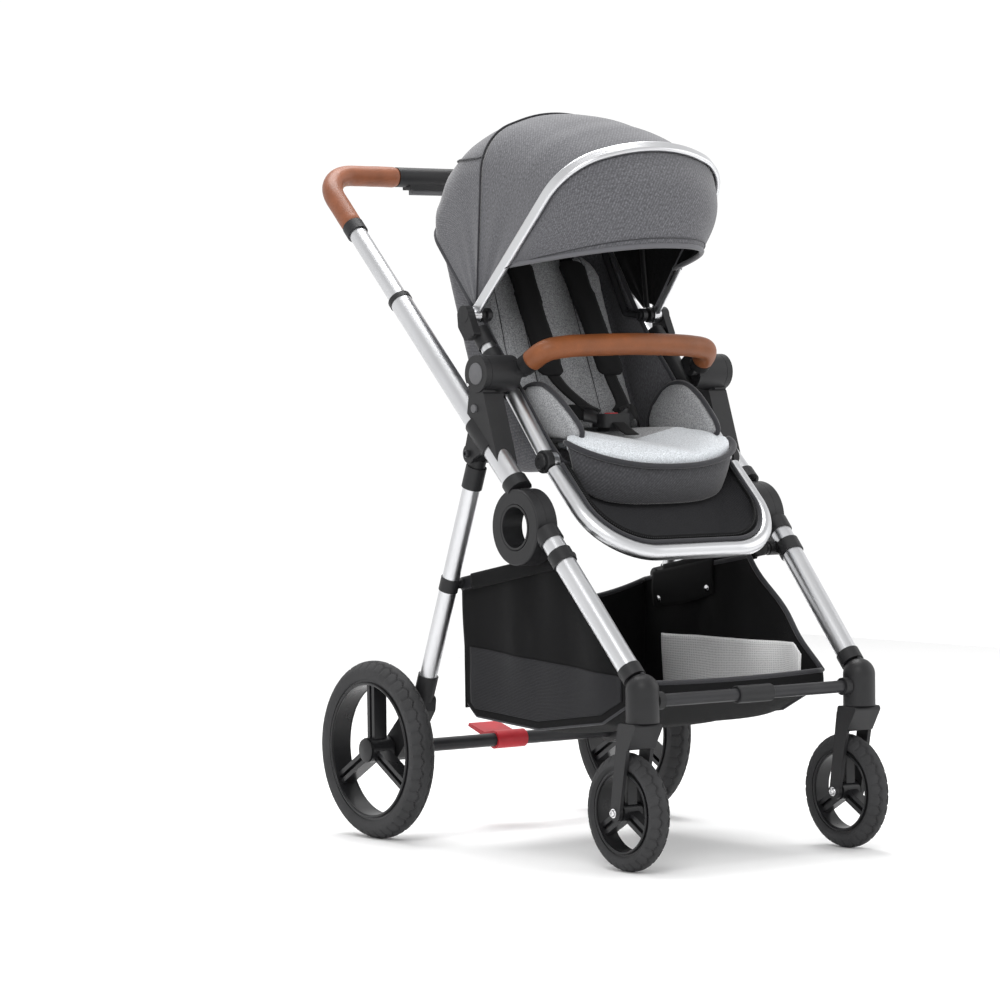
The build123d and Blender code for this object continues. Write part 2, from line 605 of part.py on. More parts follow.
BUCKLE = (-50.0, 668.0)
with BuildPart() as buckle:
    with Locations(at(0, BUCKLE)):
        Box(54, 40, 22)
    fillet(buckle.edges().filter_by(Axis.Z), radius=9)
    with Locations(at(0, (BUCKLE[0], BUCKLE[1] + 9))):
        Cylinder(11.3, 8, mode=Mode.SUBTRACT)
    with Locations(at(0, (BUCKLE[0], 654))):
        Box(30, 30, 7)
save(buckle.part, "buckle")

with BuildPart() as buckle_button:
    with Locations(at(0, (BUCKLE[0], BUCKLE[1] + 10.6))):
        Cylinder(11, 3.4)
    fillet(buckle_button.edges().group_by(Axis.Z)[-1], radius=1)
save(buckle_button.part, "buckle_button")

# ---- footrest ----
foot_start = along(FOOT_HINGE, FOOT_BAR, 0.098)
foot_plug_end = along(FOOT_HINGE, FOOT_BAR, 0.176)
with BuildPart() as footrest_tube:
    bent_tube(
        [at(-SEAT_X, foot_start), at(-SEAT_X, FOOT_BAR), at(SEAT_X, FOOT_BAR), at(SEAT_X, foot_start)],
        SEAT_TUBE_R, FOOT_CORNER_R, TUBE_WALL)
    for side_x in (-SEAT_X, SEAT_X):
        eye_x = side_x * (1 - 4.9 / SEAT_X)
        rod(at(side_x, foot_start), at(side_x, foot_plug_end), SEAT_TUBE_R)
        rod(at(eye_x, FOOT_HINGE), at(eye_x, foot_plug_end), 5.8)
        disc(eye_x - 6, eye_x + 6, FOOT_HINGE, 15)
        disc(eye_x - 7, eye_x + 7, FOOT_HINGE, FOOT_PIN_R + RUN_FIT, Mode.SUBTRACT)
save(footrest_tube.part, "footrest_tube")

foot_slope = degrees(atan2(FOOT_BAR[1] - FOOT_HINGE[1], FOOT_HINGE[0] - FOOT_BAR[0]))
panel_start = along(FOOT_HINGE, FOOT_BAR, 0.225)
panel_length = hypot(FOOT_BAR[0] - panel_start[0], FOOT_BAR[1] - panel_start[1]) - SEAT_TUBE_R - 1
foot_normal = (0, -sin(radians(foot_slope)), -cos(radians(foot_slope)))
foot_plane = Plane(origin=at(0, panel_start), x_dir=(1, 0, 0), z_dir=foot_normal)
with BuildPart() as footrest_panel:
    with BuildSketch(foot_plane.offset(-3)) as panel_outline:
        with Locations((0, panel_length / 2)):
            Rectangle(2 * (SEAT_X - SEAT_TUBE_R) - 2, panel_length)
        fillet(panel_outline.vertices().group_by(Axis.Y)[-1], radius=FOOT_CORNER_R - 14)
    extrude(amount=6)
save(footrest_panel.part, "footrest_panel")


# ---- canopy ----
def canopy_plane(angle):
    """The plane through the canopy axis, tilted forward by an angle from vertical."""
    tilt = radians(angle)
    return Plane(origin=at(0, CANOPY_AXIS), x_dir=(1, 0, 0), z_dir=(0, -cos(tilt), -sin(tilt)))


def arch(half_width, rise, foot):
    """The corner points of a bow whose side lines start at the axis and are cut off below foot."""
    shoulder = (half_width * 0.885, rise * 0.885)
    foot_x = half_width - (half_width - shoulder[0]) * foot / shoulder[1]
    return [(-foot_x, foot), (-shoulder[0], shoulder[1]), (0, rise * 1.052), shoulder, (foot_x, foot)]


def arch_radii(rise):
    return [rise * 0.28, rise * 0.76, rise * 0.28]


def arch_band(angle, half_width, rise, foot, thickness):
    """A thin bow-shaped face in one canopy plane."""
    with BuildSketch(canopy_plane(angle)) as band:
        with BuildLine():
            outer = FilletPolyline(*arch(half_width, rise, foot), radius=arch_radii(rise))
            inner_points = arch(half_width - thickness, rise - thickness, foot)
            inner = FilletPolyline(*inner_points, radius=arch_radii(rise))
            Line(outer @ 0, inner @ 0)
            Line(outer @ 1, inner @ 1)
        make_face()
    return band.sketch


def canopy_skin(stations, foot):
    """A fabric panel lofted through bow-shaped bands, given as (angle, rise) pairs."""
    bands = [arch_band(angle, CANOPY_HALF - 4.5, rise - 1.5, foot, FABRIC) for angle, rise in stations]
    loft(bands, ruled=True)


def bow(angle, half_width, rise, thickness, depth):
    """A bow of oval section swept along the arch."""
    with BuildLine(canopy_plane(angle)) as path:
        FilletPolyline(*arch(half_width, rise, 12), radius=arch_radii(rise))
    with BuildSketch(Plane(origin=path.line @ 0, x_dir=(1, 0, 0), z_dir=path.line % 0)) as profile:
        SlotOverall(depth, thickness, rotation=90)
    sweep(profile.sketch, path=path.wire())


with BuildPart() as mid_bow:
    bow(BOW_ANGLE_MID, CANOPY_HALF - 11, MID_RISE - 14, 5, 12)
    for x in (-172.5, 167.5):
        disc(x, x + 5, CANOPY_AXIS, 12)
        disc(x, x + 5, CANOPY_AXIS, PIN_R + RUN_FIT, Mode.SUBTRACT)
save(mid_bow.part, "mid_bow")

with BuildPart() as front_bow:
    bow(BOW_ANGLE_FRONT, CANOPY_HALF + 1, FRONT_RISE + 4, 9, 20)
    for x in (-189, 175):
        disc(x, x + 14, CANOPY_AXIS, 13)
        disc(x, x + 14, CANOPY_AXIS, PIN_R + RUN_FIT, Mode.SUBTRACT)
save(front_bow.part, "front_bow")

with BuildPart() as canopy_front_panel:
    canopy_skin([(BOW_ANGLE_FRONT - 0.5, FRONT_RISE - 1), (30, 333), (21, 324), (8.3, 320.5),
                 (BOW_ANGLE_MID + 0.6, MID_RISE)], 40)
save(canopy_front_panel.part, "canopy_front_panel")

with BuildPart() as canopy_rear_panel:
    canopy_skin([(BOW_ANGLE_MID - 0.6, MID_RISE), (-15.8, 309), (-29.3, 295), (-40.7, 267), (-46.9, 238)], 40)
save(canopy_rear_panel.part, "canopy_rear_panel")

with BuildPart() as visor:
    canopy_skin([(BOW_ANGLE_FRONT + 0.5, FRONT_RISE - 1), (58.6, 328), (69.8, 295)], 70)
    split(bisect_by=Plane(origin=(0, -100, 920), z_dir=(0, -0.07, 1)), keep=Keep.TOP)
save(visor.part, "visor")

# ---- bumper bar ----
bumper_points = [
    (-172, -69, 762), (-163, -96, 780), (-100, -102, 786), (0, -105, 788), (100, -102, 786), (163, -96, 780),
    (172, -69, 762)]
with BuildPart() as bumper_bar:
    bent_tube(bumper_points, 16, 38)
save(bumper_bar.part, "bumper_bar")

holder_end = Vector(*bumper_points[0])
holder_way = (holder_end - Vector(*bumper_points[1])).normalized()
with BuildPart() as bumper_holders:
    rod(tuple(holder_end + holder_way * 12), tuple(holder_end), 13.5)
    disc(HOLDER_FACE - 20, HOLDER_FACE + 0.6, BUMPER_PIVOT, 22, Mode.SUBTRACT)
    disc(HOLDER_FACE + 0.6, HOLDER_FACE + 13.2, BUMPER_PIVOT, 13)
    disc(HOLDER_FACE - 1, HOLDER_FACE + 17, BUMPER_PIVOT, PIN_R + RUN_FIT, Mode.SUBTRACT)
    both_sides()
save(bumper_holders.part, "bumper_holders")
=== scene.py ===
import json
from functools import lru_cache
from math import cos, pi, radians, sin, sqrt, tan

import bpy
from mathutils import Matrix, Vector, noise


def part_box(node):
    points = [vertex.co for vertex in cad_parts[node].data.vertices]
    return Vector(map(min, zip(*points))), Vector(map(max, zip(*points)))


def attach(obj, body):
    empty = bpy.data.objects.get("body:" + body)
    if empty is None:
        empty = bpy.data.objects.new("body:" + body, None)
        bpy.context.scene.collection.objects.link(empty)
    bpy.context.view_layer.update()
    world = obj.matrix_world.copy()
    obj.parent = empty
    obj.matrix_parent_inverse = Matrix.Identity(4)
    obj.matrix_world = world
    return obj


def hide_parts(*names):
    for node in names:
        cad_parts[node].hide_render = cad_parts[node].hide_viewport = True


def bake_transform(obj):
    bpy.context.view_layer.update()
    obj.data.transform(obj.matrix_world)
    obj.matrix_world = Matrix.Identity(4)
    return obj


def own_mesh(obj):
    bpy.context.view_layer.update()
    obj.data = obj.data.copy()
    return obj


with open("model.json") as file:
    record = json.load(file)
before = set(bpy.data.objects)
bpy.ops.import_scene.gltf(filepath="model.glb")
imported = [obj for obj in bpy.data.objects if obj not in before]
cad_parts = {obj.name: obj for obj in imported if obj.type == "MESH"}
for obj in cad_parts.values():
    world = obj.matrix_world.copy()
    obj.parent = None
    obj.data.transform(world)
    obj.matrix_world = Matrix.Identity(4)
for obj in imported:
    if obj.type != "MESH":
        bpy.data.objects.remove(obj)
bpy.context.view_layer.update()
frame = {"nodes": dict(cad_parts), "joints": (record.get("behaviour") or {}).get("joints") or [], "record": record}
joints = {j["name"]: j for j in frame["joints"]}
SIDES = (("right", -1), ("left", 1))


def pivot(name):
    """Where a joint's axis is, in the row frame."""
    return Vector(joints[name]["pos_m"])


def smooth_step(t):
    t = max(0.0, min(1.0, t))
    return t * t * (3 - 2 * t)


def mix(a, b, t):
    return a + (b - a) * t


# ---------------------------------------------------------------- materials
class Nodes:
    """A small helper around one material's node tree."""

    def __init__(self, name):
        self.material = bpy.data.materials.new(name)
        self.material.use_nodes = True
        self.tree = self.material.node_tree
        self.shader = self.tree.nodes["Principled BSDF"]

    def add(self, kind, **values):
        node = self.tree.nodes.new(kind)
        for key, value in values.items():
            setattr(node, key, value)
        return node

    def link(self, source, target):
        self.tree.links.new(source, target)

    def set(self, **values):
        for key, value in values.items():
            self.shader.inputs[key.replace("_", " ")].default_value = value

    def coordinates(self, scale=(1, 1, 1), rotation=(0, 0, 0), uv=False):
        source = self.add("ShaderNodeTexCoord")
        mapping = self.add("ShaderNodeMapping")
        mapping.inputs["Scale"].default_value = scale
        mapping.inputs["Rotation"].default_value = rotation
        self.link(source.outputs["UV" if uv else "Object"], mapping.inputs["Vector"])
        return mapping.outputs["Vector"]

    def noise(self, where, scale, detail=3.0, rough=0.6):
        node = self.add("ShaderNodeTexNoise")
        node.inputs["Scale"].default_value = scale
        node.inputs["Detail"].default_value = detail
        node.inputs["Roughness"].default_value = rough
        self.link(where, node.inputs["Vector"])
        return node.outputs["Fac"]

    def wave(self, where, scale, distortion=0.0):
        node = self.add("ShaderNodeTexWave", wave_type="BANDS", bands_direction="X")
        node.inputs["Scale"].default_value = scale
        node.inputs["Distortion"].default_value = distortion
        self.link(where, node.inputs["Vector"])
        return node.outputs["Fac"]

    def ramp(self, factor, stops):
        node = self.add("ShaderNodeValToRGB")
        elements = node.color_ramp.elements
        while len(elements) < len(stops):
            elements.new(0.5)
        for element, (place, colour) in zip(elements, stops):
            element.position = place
            element.color = (*colour, 1)
        self.link(factor, node.inputs["Fac"])
        return node.outputs["Color"]

    def span(self, factor, low, high):
        node = self.add("ShaderNodeMapRange")
        node.inputs["To Min"].default_value = low
        node.inputs["To Max"].default_value = high
        self.link(factor, node.inputs["Value"])
        return node.outputs["Result"]

    def darken(self, factor, source, colour):
        """Fade a colour socket towards a plain colour by a factor."""
        node = self.add("ShaderNodeMix", data_type="RGBA")
        colours = [s for s in node.inputs if s.type == "RGBA"]
        self.link(factor, node.inputs["Factor"])
        self.link(source, colours[0])
        colours[1].default_value = (*colour, 1)
        return [s for s in node.outputs if s.type == "RGBA"][0]

    def maths(self, operation, a, b):
        node = self.add("ShaderNodeMath", operation=operation)
        for index, value in enumerate((a, b)):
            if isinstance(value, bpy.types.NodeSocket):
                self.link(value, node.inputs[index])
            else:
                node.inputs[index].default_value = value
        return node.outputs["Value"]

    def bump(self, height, distance, strength=1.0):
        node = self.add("ShaderNodeBump")
        node.inputs["Distance"].default_value = distance
        node.inputs["Strength"].default_value = strength
        self.link(height, node.inputs["Height"])
        self.link(node.outputs["Normal"], self.shader.inputs["Normal"])

    def colour(self, socket):
        self.link(socket, self.shader.inputs["Base Color"])

    def roughness(self, socket):
        self.link(socket, self.shader.inputs["Roughness"])


def shade(colour, factor):
    return tuple(min(1.0, c * factor) for c in colour)


TWILL_ANGLE = 38
RIBS_PER_THREAD = 0.314


def woven(name, colour, flecks, twill, thread=0.0013, uv=True, sheen=0.25, shine=0.3):
    """Cloth with diagonal ribs, heather flecks and broad uneven dye."""
    m = Nodes(name)
    ribs = m.wave(m.coordinates(rotation=(0, 0, radians(TWILL_ANGLE)), uv=uv), RIBS_PER_THREAD / thread, 1.2)
    fleck = m.noise(m.coordinates(uv=uv), 1.0 / thread, 2.0, 0.7)
    broad = m.noise(m.coordinates(), 9.0, 3.0)
    low, high = shade(colour, 1 - flecks), shade(colour, 1 + 1.3 * flecks)
    base = m.ramp(fleck, [(0.30, low), (0.5, colour), (0.72, high)])
    ribbed = m.darken(m.span(ribs, 0.0, twill), base, shade(colour, 0.55))
    m.colour(m.darken(m.span(broad, 0.0, 0.22), ribbed, shade(colour, 0.7)))
    m.bump(m.maths("ADD", m.maths("MULTIPLY", ribs, 0.7), fleck), 0.0004, 0.6)
    m.roughness(m.span(fleck, 0.82, 0.97))
    m.set(Sheen_Weight=sheen, Sheen_Roughness=0.45, Specular_IOR_Level=shine)
    return m.material


def net(name, colour, hole=0.0022, depth=0.15):
    """A fine net with rows of small see-into holes, drawn in colour and bump; the holes are painted shade, a darker
    copy of the net's colour.
    """
    m = Nodes(name)
    cells = m.add("ShaderNodeTexVoronoi", feature="F1")
    cells.inputs["Scale"].default_value = 1 / hole
    cells.inputs["Randomness"].default_value = 0.15
    m.link(m.coordinates(uv=True), cells.inputs["Vector"])
    # Painted shade: the holes are darkened to depth times the net's colour.
    m.colour(m.ramp(cells.outputs["Distance"], [(0.25, shade(colour, depth)), (0.45, colour)]))
    m.bump(cells.outputs["Distance"], 0.0006, 0.8)
    m.set(Roughness=0.8, Sheen_Weight=0.05, Specular_IOR_Level=0.15)
    return m.material


def leather(name, colour):
    """Fine pebbled leather with worn lighter patches."""
    m = Nodes(name)
    where = m.coordinates()
    pebbles = m.add("ShaderNodeTexVoronoi", feature="SMOOTH_F1")
    pebbles.inputs["Scale"].default_value = 620
    m.link(where, pebbles.inputs["Vector"])
    broad = m.noise(where, 22, 4)
    fine = m.noise(where, 260, 4)
    tone = m.ramp(broad, [(0.3, shade(colour, 0.78)), (0.55, colour), (0.75, shade(colour, 1.25))])
    m.colour(m.darken(m.span(fine, 0.0, 0.3), tone, shade(colour, 0.6)))
    m.bump(m.maths("ADD", pebbles.outputs["Distance"], m.maths("MULTIPLY", fine, 0.6)), 0.00035, 0.7)
    m.roughness(m.span(broad, 0.38, 0.58))
    m.set(Coat_Weight=0.15, Coat_Roughness=0.3, Specular_IOR_Level=0.3)
    return m.material


def moulded(name, colour, rough=0.45, grain=0.00012):
    """Moulded plastic or paint with a fine grain."""
    m = Nodes(name)
    where = m.coordinates()
    grainy = m.noise(where, 900, 2)
    broad = m.noise(where, 14, 4)
    m.colour(m.ramp(broad, [(0.3, shade(colour, 0.8)), (0.7, shade(colour, 1.25))]))
    m.bump(grainy, grain, 0.5)
    m.roughness(m.span(broad, rough - 0.06, rough + 0.08))
    m.set(Specular_IOR_Level=0.3)
    return m.material


def metal(name, colour, rough):
    """Satin metal with faint drawn streaks."""
    m = Nodes(name)
    streaks = m.noise(m.coordinates(scale=(60, 60, 60)), 6.0, 5)
    broad = m.noise(m.coordinates(), 7, 3)
    m.colour(m.ramp(broad, [(0.3, shade(colour, 0.93)), (0.7, colour)]))
    m.roughness(m.maths("ADD", m.span(streaks, rough - 0.05, rough + 0.06), m.span(broad, -0.02, 0.03)))
    m.bump(streaks, 0.00003, 0.3)
    m.set(Metallic=1.0)
    return m.material


def tread_rubber(name, colour):
    """Matt rubber with a little dust."""
    m = Nodes(name)
    where = m.coordinates()
    dust = m.noise(where, 18, 5)
    fine = m.noise(where, 700, 3)
    m.colour(m.ramp(dust, [(0.35, colour), (0.8, shade(colour, 1.9))]))
    m.bump(fine, 0.0002, 0.6)
    m.roughness(m.span(dust, 0.7, 0.92))
    return m.material


GREY = (0.118, 0.118, 0.128)
MID_GREY = (0.33, 0.335, 0.345)
PALE = (0.66, 0.69, 0.72)
BLACK = (0.0065, 0.0065, 0.007)
TAN = (0.215, 0.066, 0.019)

grey_cloth = woven("grey_twill", GREY, flecks=0.55, twill=0.60, thread=0.0042)
heather_cloth = woven("grey_heather", MID_GREY, flecks=0.6, twill=0.10, thread=0.0020, uv=False)
pale_cloth = woven("pale_heather", PALE, flecks=0.30, twill=0.06, thread=0.0020, uv=False)
# A darker copy of the grey twill: painted shade for the flap that hangs in the shadow of the cushion's lip.
painted_shade_twill = woven("painted_shade_twill", (0.055, 0.055, 0.060), flecks=0.5, twill=0.7, thread=0.0042)
black_cloth = woven("black_cloth", BLACK, flecks=0.3, twill=0.3, sheen=0.03, shine=0.15)
lining_cloth = woven("black_lining", BLACK, flecks=0.9, twill=0.0, thread=0.004, sheen=0.03, shine=0.15)
strap_cloth = woven("black_webbing", BLACK, flecks=0.2, twill=0.5, thread=0.0022, sheen=0.05, shine=0.2)
binding_cloth = woven("dark_binding", (0.035, 0.035, 0.04), flecks=0.3, twill=0.4, uv=False)
black_net = net("black_net", (0.03, 0.03, 0.033))
# A near-white net: painted light, standing in for the bright backdrop seen through the basket's see-through window.
painted_backdrop_net = net("painted_backdrop_net", (0.98, 0.98, 0.98), 0.004, depth=0.72)
tan_leather = leather("tan_leather", TAN)
dull_leather = leather("grip_leather", (0.25, 0.082, 0.036))
thread_tan = moulded("tan_thread", (0.45, 0.22, 0.1), 0.8)
silver = metal("satin_aluminium", (0.66, 0.665, 0.68), 0.30)
bright = metal("bright_steel", (0.75, 0.75, 0.76), 0.2)
black_plastic = moulded("black_plastic", (0.014, 0.014, 0.015), 0.46)
gloss_plastic = moulded("gloss_black_plastic", (0.012, 0.012, 0.013), 0.28, 0.00005)
grey_plastic = moulded("grey_plastic", (0.10, 0.10, 0.105), 0.5)
black_paint = moulded("black_paint", (0.02, 0.02, 0.022), 0.35, 0.00004)
red_plastic = moulded("red_plastic", (0.45, 0.02, 0.03), 0.42)
rubber = tread_rubber("tyre_rubber", (0.02, 0.02, 0.021))

FINISH = {
    "silver_tube": silver, "black_plastic": black_plastic, "black_metal": black_paint, "steel": bright,
    "rim_plastic": gloss_plastic, "tyre": rubber, "tan_leather": tan_leather, "grey_fabric": grey_cloth,
    "pale_fabric": pale_cloth, "black_fabric": black_cloth, "red_plastic": red_plastic,
    "grey_plastic": grey_plastic,
}
node_slots = {s["node"]: s["material_slot"] for s in frame["record"]["subparts"]}
for name, thing in frame["nodes"].items():
    thing.data.materials.clear()
    thing.data.materials.append(FINISH[node_slots[name]])

# The record's slot that each material belongs to.
SLOTS = {material.name: slot for slot, material in FINISH.items()}
for cloth in (binding_cloth, strap_cloth, lining_cloth, black_net, painted_backdrop_net):
    SLOTS[cloth.name] = "black_fabric"
for cloth in (heather_cloth, painted_shade_twill):
    SLOTS[cloth.name] = "grey_fabric"
for hide in (dull_leather, thread_tan):
    SLOTS[hide.name] = "tan_leather"


# ---------------------------------------------------------------- mesh helpers
def new_piece(name, vertices, faces, materials, body=None):
    """A mesh object in the row frame that moves with a body."""
    mesh = bpy.data.meshes.new(name)
    mesh.from_pydata([tuple(v) for v in vertices], [], faces)
    mesh.update()
    for material in materials:
        mesh.materials.append(material)
    mesh.shade_smooth()
    thing = bpy.data.objects.new(name, mesh)
    bpy.context.scene.collection.objects.link(thing)
    if body:
        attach(thing, body)
    return thing


def swept_faces(rows, sides, closed=False, base=0):
    """The faces of a tube of rows of vertices, sides to a row, closed into a ring or capped at both ends."""
    faces = []
    for k in range(rows if closed else rows - 1):
        here, there = base + k * sides, base + (k + 1) % rows * sides
        for s in range(sides):
            n = (s + 1) % sides
            faces.append((here + s, here + n, there + n, there + s))
    if not closed:
        faces.append(tuple(base + s for s in range(sides - 1, -1, -1)))
        faces.append(tuple(base + (rows - 1) * sides + s for s in range(sides)))
    return faces


def settle(thing):
    """Apply every modifier, so that the mesh is final."""
    graph = bpy.context.evaluated_depsgraph_get()
    mesh = bpy.data.meshes.new_from_object(thing.evaluated_get(graph))
    thing.modifiers.clear()
    thing.data = mesh
    return thing


def lengths(points):
    """Distances from the first point to each point along a line of points."""
    out = [0.0]
    for a, b in zip(points, points[1:]):
        out.append(out[-1] + (Vector(b) - Vector(a)).length)
    return out


CUTS = {}


def cloth_sheet(name, point, columns, rows, materials, body=None, thick=0.0022, side=-1.0):
    """A sheet of cloth from a function of two shares, u across and v along, with its weave laid to size."""
    grid = [[Vector(point(i / columns, j / rows)) for i in range(columns + 1)] for j in range(rows + 1)]
    across = lengths(grid[rows // 2])
    along = lengths([row[columns // 2] for row in grid])
    vertices = [p for row in grid for p in row]
    wide = columns + 1
    faces = [(j * wide + i, j * wide + i + 1, (j + 1) * wide + i + 1, (j + 1) * wide + i)
             for j in range(rows) for i in range(columns)]
    thing = new_piece(name, vertices, faces, materials)
    widest = max(lengths(row)[-1] for row in grid)
    longest = max(lengths([row[i] for row in grid])[-1] for i in range(wide))
    CUTS[name] = (widest, longest, sum(f.area for f in thing.data.polygons))
    layer = thing.data.uv_layers.new(name="cloth")
    for loop in thing.data.loops:
        j, i = divmod(loop.vertex_index, wide)
        layer.data[loop.index].uv = (across[i], along[j])
    shell = thing.modifiers.new("thickness", "SOLIDIFY")
    shell.thickness = thick
    shell.offset = side
    shell.use_rim = True
    shell.material_offset = 1
    settle(thing)
    thing.data.shade_smooth()
    if body:
        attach(thing, body)
    return thing


def cut_to_size(thing):
    """Work out the flat size and area that a sheet was laid out to; the result is not kept."""
    widest, longest, area = CUTS[thing.name]
    area = min(area, widest * longest)


def curve_points(points, count, closed=False):
    """Evenly shared points of a smooth Catmull-Rom line through given points."""
    points = [Vector(p) for p in points]
    n = len(points)
    spans = n if closed else n - 1
    out = []
    total = count if closed else count - 1
    for k in range(count):
        place = k * spans / total
        i = min(int(place), spans - 1)
        t = place - i
        a, b, c, d = [points[(i + o) % n if closed else max(0, min(n - 1, i + o))] for o in (-1, 0, 1, 2)]
        out.append(0.5 * (2 * b + (c - a) * t + (2 * a - 5 * b + 4 * c - d) * t * t
                          + (3 * b - a - 3 * c + d) * t ** 3))
    return out


def tube(name, points, radius, material, body=None, sides=10, closed=False, flat=1.0):
    """A round or flattened bead swept along a line of points."""
    points = [Vector(p) for p in points]
    n = len(points)
    vertices = []
    normal = None
    for k, p in enumerate(points):
        ahead = points[(k + 1) % n] if closed or k < n - 1 else p
        behind = points[k - 1] if closed or k > 0 else p
        way = (ahead - behind).normalized()
        if normal is None:
            normal = way.orthogonal().normalized()
        normal = (normal - way * normal.dot(way)).normalized()
        other = way.cross(normal)
        for s in range(sides):
            a = 2 * pi * s / sides
            vertices.append(p + normal * radius * cos(a) + other * radius * flat * sin(a))
    return new_piece(name, vertices, swept_faces(n, sides, closed), [material], body)


def crisp(thing, angle):
    """Smooth shading that keeps edges sharper than an angle."""
    thing.data.set_sharp_from_angle(angle=radians(angle))
    return thing


def lathe(name, profile, centre, axis, material, body, sides=48):
    """A turned piece: profile is (radius, distance along axis) pairs from one end to the other."""
    axis = Vector(axis).normalized()
    first = axis.orthogonal().normalized()
    second = axis.cross(first)
    centre = Vector(centre)
    vertices = []
    for radius, along in profile:
        for s in range(sides):
            a = 2 * pi * s / sides
            vertices.append(centre + axis * along + (first * cos(a) + second * sin(a)) * radius)
    return crisp(new_piece(name, vertices, swept_faces(len(profile), sides), [material], body), 35)


# ---------------------------------------------------------------- canopy
CANOPY = pivot("canopy_fold")
FRONT_ANGLE = 43.5
MID_ANGLE = -1.6
REAR_ANGLE = -46.9
FRONT_RISE, MID_RISE, REAR_RISE = 0.3465, 0.3195, 0.246
CANOPY_HALF = 0.1762
ARCH_FOOT = 0.02
ARCH_STEPS = 200
RISES = [(REAR_ANGLE, REAR_RISE), (-40.7, 0.276), (-29.3, 0.3015), (-15.8, 0.312), (MID_ANGLE, MID_RISE),
         (8.3, 0.320), (21, 0.3235), (30, 0.3325), (FRONT_ANGLE, FRONT_RISE)]


def table(pairs, x):
    """A smooth value from a short table of pairs."""
    for (a, p), (b, q) in zip(pairs, pairs[1:]):
        if x <= b:
            share = (x - a) / (b - a)
            return mix(p, q, smooth_step(share) * 0.5 + 0.5 * max(0.0, share))
    return pairs[-1][1]


@lru_cache(maxsize=None)
def arch_outline(half, rise, foot):
    """The canopy's arch in its own plane: even (x, height) steps from the right foot over to the left foot."""
    knee = (0.885 * half, 0.885 * rise)
    foot_x = half - (half - knee[0]) * foot / knee[1]
    top = (0, 1.052 * rise)
    corners = [Vector(c) for c in ((-foot_x, foot), (-knee[0], knee[1]), top, knee, (foot_x, foot))]
    path = [corners[0]]
    for a, b, c, radius in zip(corners, corners[1:], corners[2:], (0.28 * rise, 0.76 * rise, 0.28 * rise)):
        into, out = (b - a).normalized(), (c - b).normalized()
        turn = into.angle(out)
        start = b - into * radius * tan(turn / 2)
        centre = start + Vector((into.y, -into.x)) * radius
        arm = start - centre
        for k in range(17):
            t = -turn * k / 16
            path.append(centre + Vector((arm.x * cos(t) - arm.y * sin(t), arm.x * sin(t) + arm.y * cos(t))))
    path.append(corners[-1])
    spans = lengths(path)
    even, k = [], 0
    for n in range(ARCH_STEPS + 1):
        d = spans[-1] * n / ARCH_STEPS
        while k < len(path) - 2 and spans[k + 1] < d:
            k += 1
        even.append(path[k].lerp(path[k + 1], (d - spans[k]) / max(1e-9, spans[k + 1] - spans[k])))
    return even


def arch_point(angle, share, rise, half=CANOPY_HALF, foot=0.04):
    """A point of the canopy's arch in the plane at an angle, from the right foot (0) to the left foot (1)."""
    outline = arch_outline(half, round(rise, 6), foot)
    k = min(int(share * ARCH_STEPS), ARCH_STEPS - 1)
    x, height = outline[k].lerp(outline[k + 1], share * ARCH_STEPS - k)
    tilt = radians(angle)
    return Vector((x, CANOPY.y - height * sin(tilt), CANOPY.z + height * cos(tilt)))


def wrinkle(place, scale, size):
    """A small repeatable unevenness of cloth."""
    return noise.noise(Vector(place) * scale) * size


def canopy_cloth(angle_a, angle_b):
    """The cloth between two angles, slack in its middle and pulled at its sides."""
    def point(u, v):
        angle = mix(angle_a, angle_b, v)
        rise = table(RISES, angle)
        p = arch_point(angle, u, rise, foot=ARCH_FOOT)
        out = p - Vector((0, CANOPY.y, CANOPY.z))
        slack = sin(pi * v) * 0.0030
        side = abs(2 * u - 1)
        fold = wrinkle((p.x * 0.5, angle * 0.006, p.z * 0.8), 9, 0.0045) * sin(pi * v)
        pull = sin(angle * 0.40 + side * 3) * 0.0007 * smooth_step((side - 0.45) / 0.4) * sin(pi * v)
        return p + out.normalized() * (fold + pull - slack)
    return point


FRONT_TOP, MID_TOP, REAR_TOP = (arch_point(angle, 0.5, rise) for angle, rise in (
    (FRONT_ANGLE, FRONT_RISE), (MID_ANGLE, MID_RISE), (REAR_ANGLE, REAR_RISE)))

front_cloth = cloth_sheet("canopy_front_cloth", canopy_cloth(FRONT_ANGLE - 0.9, MID_ANGLE + 0.5), 96, 36,
                          [grey_cloth, lining_cloth])
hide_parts("canopy_front_panel")
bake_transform(front_cloth)
cut_to_size(front_cloth)

rear_cloth = cloth_sheet("canopy_rear_cloth", canopy_cloth(MID_ANGLE - 0.5, REAR_ANGLE), 96, 36,
                         [grey_cloth, lining_cloth])
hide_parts("canopy_rear_panel")
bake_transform(rear_cloth)
cut_to_size(rear_cloth)


def steps(last):
    """Even shares from 0 to 1."""
    return [k / last for k in range(last + 1)]


def arch_line(angle, rise, half):
    return [arch_point(angle, share, rise, half, ARCH_FOOT) for share in steps(89)]


tube("canopy_mid_piping", arch_line(MID_ANGLE, 0.3205, CANOPY_HALF + 0.001), 0.0028, binding_cloth,
     "canopy_mid", flat=0.6)
tube("canopy_front_hem", arch_line(FRONT_ANGLE - 1.4, 0.3470, CANOPY_HALF + 0.0005), 0.0028, grey_cloth,
     "canopy_front")

SEAM_Z = 1.088


def seam_points():
    """Where the canopy's level seam runs over the rear panel, from the right round the back to the left."""
    left = []
    for k in range(40):
        angle = mix(MID_ANGLE - 1, -31.0, k / 39)
        rise = table(RISES, angle)
        arch = [arch_point(angle, 0.5 + n / 400, rise, CANOPY_HALF + 0.0008) for n in range(200)]
        low = [p for p in arch if p.z < SEAM_Z]
        if low and arch[0].z > SEAM_Z:
            left.append(low[0])
    return [Vector((-p.x, p.y, p.z)) for p in left] + left[::-1]


seam = tube("canopy_rear_seam", curve_points(seam_points(), 90), 0.0016, binding_cloth, sides=6)
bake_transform(seam)


